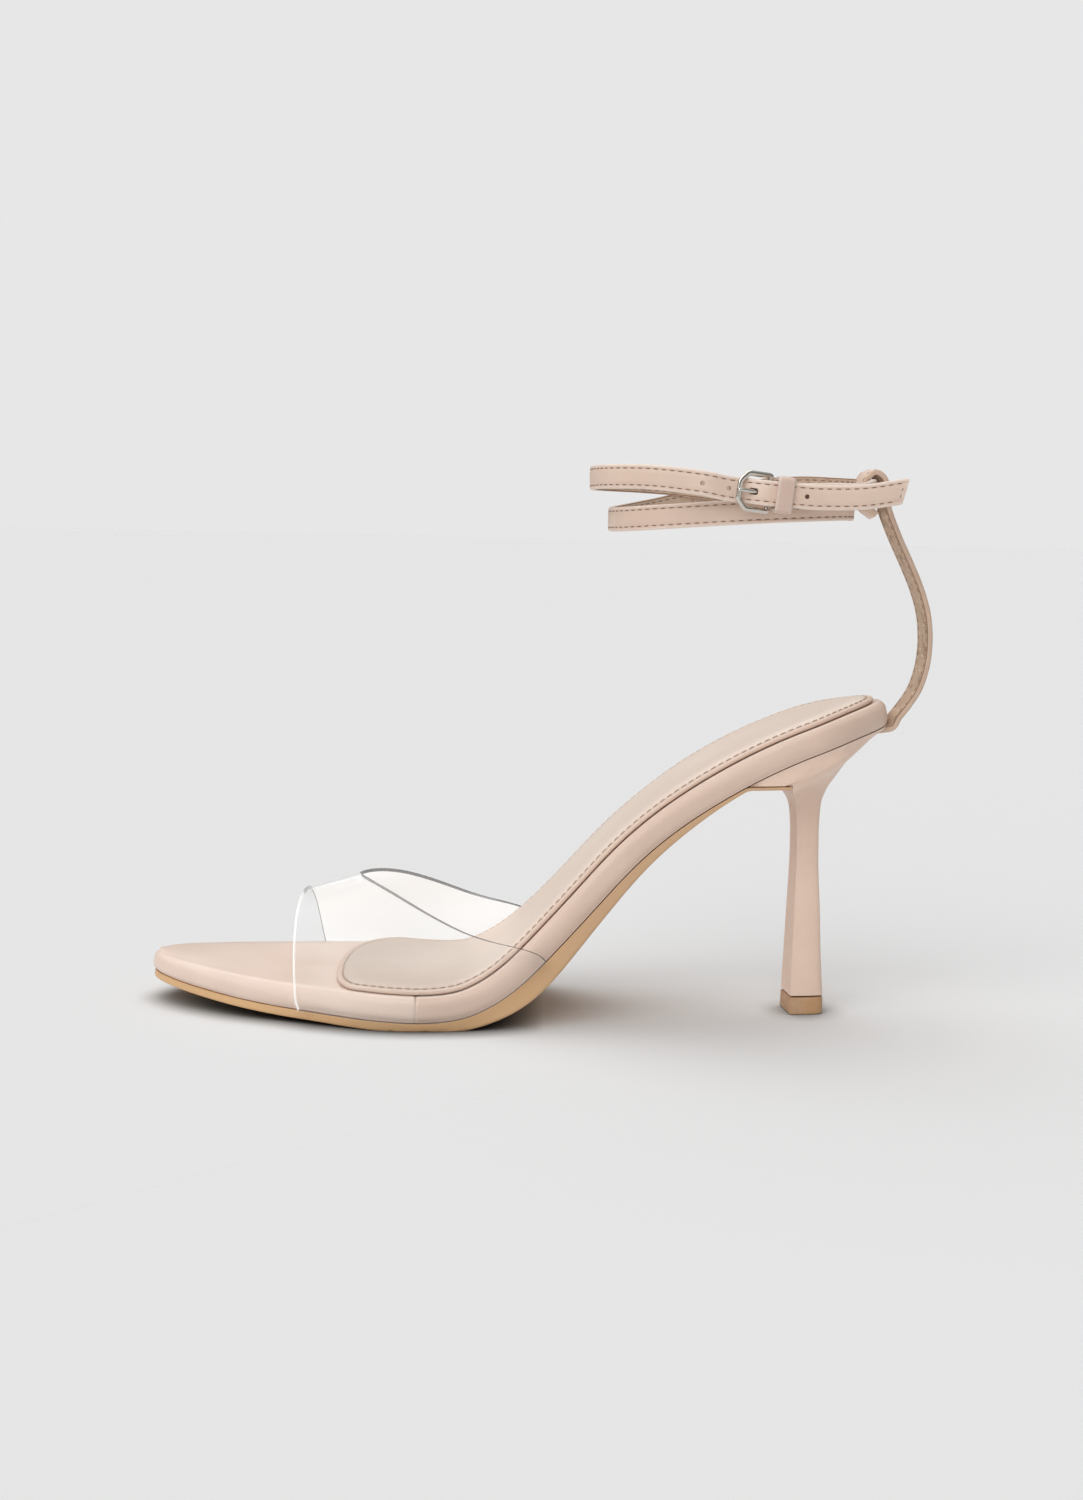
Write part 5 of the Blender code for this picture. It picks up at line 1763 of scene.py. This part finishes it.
class SandalAnkleStrap(bpy.types.Operator):
    """Builds the double wrapped ankle strap, its seams, holes and slanted free end"""

    bl_idname = "sandal.ankle_strap"
    bl_label = "Ankle Strap"
    steps = 9

    def execute(self, context):
        sewing = context.scene.sandal_sewing
        inset = sewing.inset / MM
        line = ankle_line(self.steps)
        stands = np.tile([0.0, 0.0, 1.0], (len(line), 1))
        eye = self.steps * (len(EYE_IN) + len(EYE_TURNS) + len(EYE_OUT))
        turn_back = np.clip((np.arange(len(line)) - eye) / (1.5 * self.steps), 0.0, 1.0)[:, None]
        stands = UPWARD * (1 - turn_back) + stands * turn_back
        frames = ribbon_frames(line, stands)
        way, up, out = frames
        profile, finishes = strap_profile(STRAP_WIDTH, STRAP, inset, GROOVE, lining_out=False)
        sections = strap_sections(line, frames, profile)
        slant = FREE_END_SLANT / STRAP_WIDTH
        for back in range(1, SLANT_ROWS + 1):
            share = 1 - (back - 1) / SLANT_ROWS
            sections[-back] = [
                point + way[-back] * slant * share * (point - line[-back])[2] for point in sections[-back]
            ]
        rings = swept(sections, finishes)
        raw = lining("raw_leather_line")
        materials = [leather("strap_leather"), leather("strap_edge"), lining("strap_lining"), raw]
        item = make_piece("ankle_strap_leather", rings, materials, ["ankle_strap"], sharp=50.0)
        cutters = [(prong_slot(), raw)]
        free = np.arange(len(line)) > len(line) - len(FREE_ROUTE) * self.steps
        for x in HOLE_X:
            near = int(np.argmin(np.where(free, np.abs(line[:, 0] - x), np.inf)))
            cutters.append((round_hole(line[near], out[near], sewing.hole / MM), raw))
        carve(item, cutters)
        self.stitches(line, way, up, out, inset, slant, sewing)
        return {"FINISHED"}

    def stitches(self, line, way, up, out, inset, slant, sewing):
        stitches = Rings()
        sizes = (sewing.pitch / MM, sewing.stitch / MM, sewing.thickness / MM)
        reach = STRAP_WIDTH / 2 - inset
        for side in (-1, 1):
            for face in (-1, 1):
                row = line + up * side * reach + out * face * (STRAP / 2 - STITCH_PROUD)
                spare = 1.0 + (FREE_END_SLANT if side < 0 else 0.0)
                sew(stitches, row, way, up, out * face, *sizes, end=spare)
        end_line = []
        for share in np.linspace(-1, 1, 6):
            rise = share * (reach - 0.2)
            back = slant * rise - END_SEAM_BACK
            lift = STRAP / 2 + END_SEAM_LIFT
            end_line.append(line[-1] + up[-1] * rise + way[-1] * back + out[-1] * lift)
        end_line = np.array(end_line)
        directions = (unit(end_line[-1] - end_line[0]), way[-1], out[-1])
        directions = [np.tile(direction, (len(end_line), 1)) for direction in directions]
        sew(
            stitches, end_line, *directions, END_SEAM_PITCH, END_SEAM_STITCH, sizes[2],
            start=0.2, end=0.2,
        )
        make_piece("ankle_strap_stitches", stitches, [thread("strap_thread", looks().thread)])


# Buckle and keeper

STEEL_WORN = (0.90, 0.88, 0.85, 1.0)
STEEL_CREASE_SHADE = (0.35, 0.33, 0.31, 1.0)
FRAME_BEND = 0.7
WIRE_SIDES = 16
WIRE_POWER = 0.8
PRONG_SIDES = 14
PRONG_CURL = 230
PRONG_STRAIGHT = (0.15, 0.35, 0.6, 0.8, 0.92, 0.97, 1.0)
PRONG_TIP_SIZES = (0.97, 0.86, 0.68, 0.38)
PRONG_CURL_SIZE = 0.8
KEEPER_BEND = 1.1


def polished_steel():
    look = looks()
    finish, wiring, shader = blank_finish("polished_steel", 0.12, 1.0)
    if wiring is None:
        return finish
    marks = wiring.noise(1800.0, 4.0, wiring.place((0.2, 1.0, 1.0)), 0.7)
    # Lighter worn rims, and painted shade in the metal's hollows.
    worn = use_group(
        wiring, edge_wear_group(), Colour=opaque(look.metal), Worn_Colour=STEEL_WORN,
        Crease_Colour=STEEL_CREASE_SHADE, Wear=0.5, Crease=0.5,
    )
    wiring.put(shader, "Base Color", worn.outputs["Colour"])
    wiring.put(shader, "Roughness", wiring.spread(marks, 0.3, 0.75, 0.09, 0.24))
    raise_bump(wiring, shader, marks, 0.02, 0.3)
    return finish


def rounded(outline, radius, steps):
    """A closed flat outline with its corners rounded."""
    made = []
    count = len(outline)
    for i, corner in enumerate(outline):
        before, after = outline[i - 1], outline[(i + 1) % count]
        into, away = unit(before - corner), unit(after - corner)
        reach = min(radius, 0.45 * np.linalg.norm(before - corner), 0.45 * np.linalg.norm(after - corner))
        first, last = corner + into * reach, corner + away * reach
        for t in np.linspace(0.0, 1.0, steps):
            made.append(first * (1 - t) ** 2 + corner * 2 * t * (1 - t) + last * t**2)
    return np.array(made)


def soft_square(value):
    """Turns a circle's coordinate into that of a softly squared wire."""
    return math.copysign(abs(value) ** WIRE_POWER, value)


class SandalBuckle(bpy.types.Operator):
    """Builds the polished frame, the prong and the leather keeper"""

    bl_idname = "sandal.buckle"
    bl_label = "Buckle and Keeper"

    def execute(self, context):
        steel = polished_steel()
        self.frame_ring(steel)
        self.prong(steel)
        self.keeper()
        return {"FINISHED"}

    def frame_ring(self, steel):
        long, tall, corner = FRAME_LENGTH, FRAME_HEIGHT / 2, FRAME_CORNER
        outline = [(0, -tall), (long - corner, -tall), (long, corner - tall), (long, tall - corner)]
        outline += [(long - corner, tall), (0, tall)]
        flat = rounded(np.array(outline, float), FRAME_BEND, 6)
        middle = np.array([HINGE + FRAME_WAY * p + UPWARD * q for p, q in flat])
        way = unit(np.roll(middle, -1, axis=0) - np.roll(middle, 1, axis=0))
        side = np.cross(way, FRAME_OUT)
        turns = np.arange(WIRE_SIDES) * 2 * math.pi / WIRE_SIDES
        square = [(soft_square(math.cos(t)) * FRAME_BROAD, soft_square(math.sin(t))) for t in turns]
        sections = [
            [point + (side[i] * a + FRAME_OUT * b) * WIRE / 2 for a, b in square]
            for i, point in enumerate(middle)
        ]
        rings = tube(sections, joined=True)
        make_piece("buckle_frame_steel", rings, [steel], ["buckle_frame"], sharp=60.0)

    def prong(self, steel):
        middle = WIRE / 2 + CLEAR + PRONG / 2
        start = HINGE + FRAME_OUT * middle + FRAME_WAY * 1.0
        end = HINGE + FRAME_WAY * (FRAME_LENGTH + PRONG_REACH) + FRAME_OUT * middle
        turns = np.radians(np.linspace(PRONG_CURL, 0, 16))
        line = [HINGE + (FRAME_OUT * math.cos(t) - FRAME_WAY * math.sin(t)) * middle for t in turns]
        line += [start + (end - start) * share for share in PRONG_STRAIGHT]
        line = np.array(line)
        sizes = np.ones(len(line))
        sizes[-len(PRONG_TIP_SIZES) :] = PRONG_TIP_SIZES
        sizes[0] = PRONG_CURL_SIZE
        out = np.cross(unit(np.gradient(line, axis=0)), UPWARD)
        turns = np.arange(PRONG_SIDES) * 2 * math.pi / PRONG_SIDES
        sections = []
        for point, away, size in zip(line, out, sizes):
            spokes = [away * math.cos(t) + UPWARD * math.sin(t) for t in turns]
            sections.append([point + spoke * size * PRONG / 2 for spoke in spokes])
        make_piece("buckle_prong_steel", tube(sections), [steel], ["buckle_prong"], sharp=60.0)

    def keeper(self):
        """Leather band round the layers just behind the buckle."""
        inner = RETURN_Y + STRAP / 2 + CLEAR + KEEPER_SLACK
        outer = FREE_Y - STRAP / 2 - CLEAR
        tall = STRAP_WIDTH / 2 + KEEPER_SPARE
        centre = HINGE - LEFTWARD * KEEPER_SET
        centre = np.array([centre[0], 0.0, centre[2]])
        wall = KEEPER_WALL / 2
        corners = [(outer - wall, -tall - wall), (inner + wall, -tall - wall)]
        corners += [(inner + wall, tall + wall), (outer - wall, tall + wall)]
        loop = rounded(np.array(corners, float), KEEPER_BEND, 8)
        way = unit(np.roll(loop, -1, axis=0) - np.roll(loop, 1, axis=0))
        away = np.stack([way[:, 1], -way[:, 0]], axis=1)
        half = KEEPER_WIDTH / 2
        profile = [(half, -wall), (half, 0.35 * wall), (half - 0.18, 0.8 * wall), (half - 0.55, wall)]
        profile += [(half - 0.9, 1.04 * wall), (0.0, 1.08 * wall)]
        profile += [(-a, b) for a, b in reversed(profile[:-1])]
        sections = []
        for point, lift in zip(loop, away):
            ring = []
            for along, out in profile:
                y, up = point + lift * out
                ring.append(centre - LEFTWARD * along - OUTWARD * y + UPWARD * up)
            sections.append(ring)
        rings, finishes = tube(sections, joined=True), [leather("keeper_leather")]
        make_piece("keeper_leather", rings, finishes, ["keeper_loop"], sharp=50.0)


# Stage

CAMERA_LOOKS_AT = np.array([-0.0805, 0.0, 0.07805])
CAMERA_AWAY = 0.564
CAMERA_TURN = 0.63
CAMERA_RISE = 6.6
CAMERA_ROLL = 1.2
SENSOR_WIDTH = 36.0
FLOOR_HALF = 40.0
FLOOR_CLOUD = 0.995
CONTACT_SHADOW_REACH = 9.0
SKY_LOW = 0.35
SKY_HIGH = 1.30
LAMPS = (
    # name, lean in degrees, turn in degrees, width in degrees, strength
    ("soft_top", -20.0, 20.0, 60.0, 1.34),
    ("soft_front", 56.0, -30.0, 60.0, 1.50),
)


class SandalFloor(bpy.types.Operator):
    """Sets the pale floor, the soft light and the camera"""

    bl_idname = "sandal.stage"
    bl_label = "Floor, Light and Camera"

    def execute(self, context):
        stage = context.scene.sandal_stage
        context.scene.view_settings.view_transform = "Standard"
        context.scene.view_settings.look = "None"
        self.floor(stage)
        self.light(stage)
        self.camera(context, stage)
        return {"FINISHED"}

    def floor(self, stage):
        mesh = bpy.data.meshes.new("floor")
        corners = [(FLOOR_HALF * x, FLOOR_HALF * y, 0) for x, y in ((-1, -1), (1, -1), (1, 1), (-1, 1))]
        mesh.from_pydata(corners, [], [(0, 1, 2, 3)])
        finish, wiring, shader = blank_finish("pale_floor", 0.9)
        if wiring:
            shader.inputs["Specular IOR Level"].default_value = 0.0
            cloud = wiring.noise(3.0, 2.0, wiring.place())
            dim = [part * FLOOR_CLOUD for part in stage.floor]
            pale = wiring.mix(cloud, opaque(stage.floor), opaque(dim))
            # Painted shadow: the floor darkens where the sandal hides it, within a short reach.
            contact_shadow = wiring.add("ShaderNodeAmbientOcclusion", {"samples": 8}, Distance=CONTACT_SHADOW_REACH * MM)
            wiring.put(shader, "Base Color", wiring.mix(contact_shadow.outputs["AO"], BLACK, pale))
        mesh.materials.append(finish)
        item = bpy.data.objects.new("floor", mesh)
        bpy.context.scene.collection.objects.link(item)

    def light(self, stage):
        world = bpy.data.worlds.new("soft_studio")
        bpy.context.scene.world = world
        world.use_nodes = True
        wiring = Wiring(world.node_tree)
        back = world.node_tree.nodes["Background"]
        spot = wiring.add("ShaderNodeTexCoord")
        parts = wiring.add("ShaderNodeSeparateXYZ", Vector=spot.outputs["Generated"])
        seen = wiring.add("ShaderNodeLightPath")
        up = wiring.spread(parts.outputs["Z"], 0.0, 1.0, SKY_LOW, SKY_HIGH)
        even = wiring.math("MULTIPLY", up, stage.sky)
        colour = wiring.add("ShaderNodeCombineColor")
        for channel in ("Red", "Green", "Blue"):
            wiring.put(colour, channel, even)
        shown = wiring.mix(seen.outputs["Is Camera Ray"], colour.outputs["Color"], opaque(stage.backdrop))
        wiring.put(back, "Color", shown)
        for name, lean, turn, wide, power in LAMPS:
            lamp = bpy.data.lights.new(name, "SUN")
            lamp.energy = stage.key * power
            lamp.angle = math.radians(wide)
            item = bpy.data.objects.new(name, lamp)
            item.rotation_euler = (math.radians(lean), 0.0, math.radians(turn))
            bpy.context.scene.collection.objects.link(item)

    def camera(self, context, stage):
        turn, rise, roll = (math.radians(part) for part in (CAMERA_TURN, CAMERA_RISE, CAMERA_ROLL))
        ahead = np.array([math.sin(turn) * math.cos(rise), math.cos(turn) * math.cos(rise), -math.sin(rise)])
        right = np.array([math.cos(turn), -math.sin(turn), 0.0])
        up = np.cross(right, ahead)
        rolled_right = right * math.cos(roll) + up * math.sin(roll)
        rolled_up = up * math.cos(roll) - right * math.sin(roll)
        lens = bpy.data.cameras.new("photo_camera")
        lens.lens = stage.lens
        lens.sensor_width = SENSOR_WIDTH
        item = bpy.data.objects.new("photo_camera", lens)
        spin = np.eye(4)
        spin[:3, :3] = np.array([rolled_right, rolled_up, -ahead]).T
        spin[:3, 3] = CAMERA_LOOKS_AT - ahead * CAMERA_AWAY
        item.matrix_world = Matrix(spin.tolist())
        context.scene.collection.objects.link(item)
        context.scene.camera = item


class SandalPanel(bpy.types.Panel):
    """Lists the sandal's steps and settings in the sidebar"""

    bl_idname = "VIEW3D_PT_sandal"
    bl_label = "Strappy Sandal"
    bl_space_type = "VIEW_3D"
    bl_region_type = "UI"
    bl_category = "Sandal"

    def draw(self, context):
        layout = self.layout
        for step in STEPS:
            layout.operator(step.bl_idname)
        for group in (context.scene.sandal_finish, context.scene.sandal_sewing, context.scene.sandal_stage):
            box = layout.box()
            for name in group.__annotations__:
                box.prop(group, name)


STEPS = (
    SandalOutsole, SandalPlatform, SandalSock, SandalVamp, SandalHeel, SandalBackStrap,
    SandalAnkleStrap, SandalBuckle, SandalFloor,
)
GROUPS = (SandalFinish, SandalSewing, SandalStage)


def register():
    for item in (*GROUPS, *STEPS, SandalPanel):
        bpy.utils.register_class(item)
    bpy.types.Scene.sandal_finish = bpy.props.PointerProperty(type=SandalFinish)
    bpy.types.Scene.sandal_sewing = bpy.props.PointerProperty(type=SandalSewing)
    bpy.types.Scene.sandal_stage = bpy.props.PointerProperty(type=SandalStage)


def unregister():
    for name in ("sandal_finish", "sandal_sewing", "sandal_stage"):
        delattr(bpy.types.Scene, name)
    for item in reversed((*GROUPS, *STEPS, SandalPanel)):
        bpy.utils.unregister_class(item)


def main():
    register()
    bpy.ops.sandal.outsole()
    bpy.ops.sandal.platform()
    bpy.ops.sandal.sock()
    bpy.ops.sandal.clear_vamp()
    bpy.ops.sandal.heel()
    bpy.ops.sandal.back_strap()
    bpy.ops.sandal.ankle_strap()
    bpy.ops.sandal.buckle()
    bpy.ops.sandal.stage()


if __name__ == "__main__":
    main()
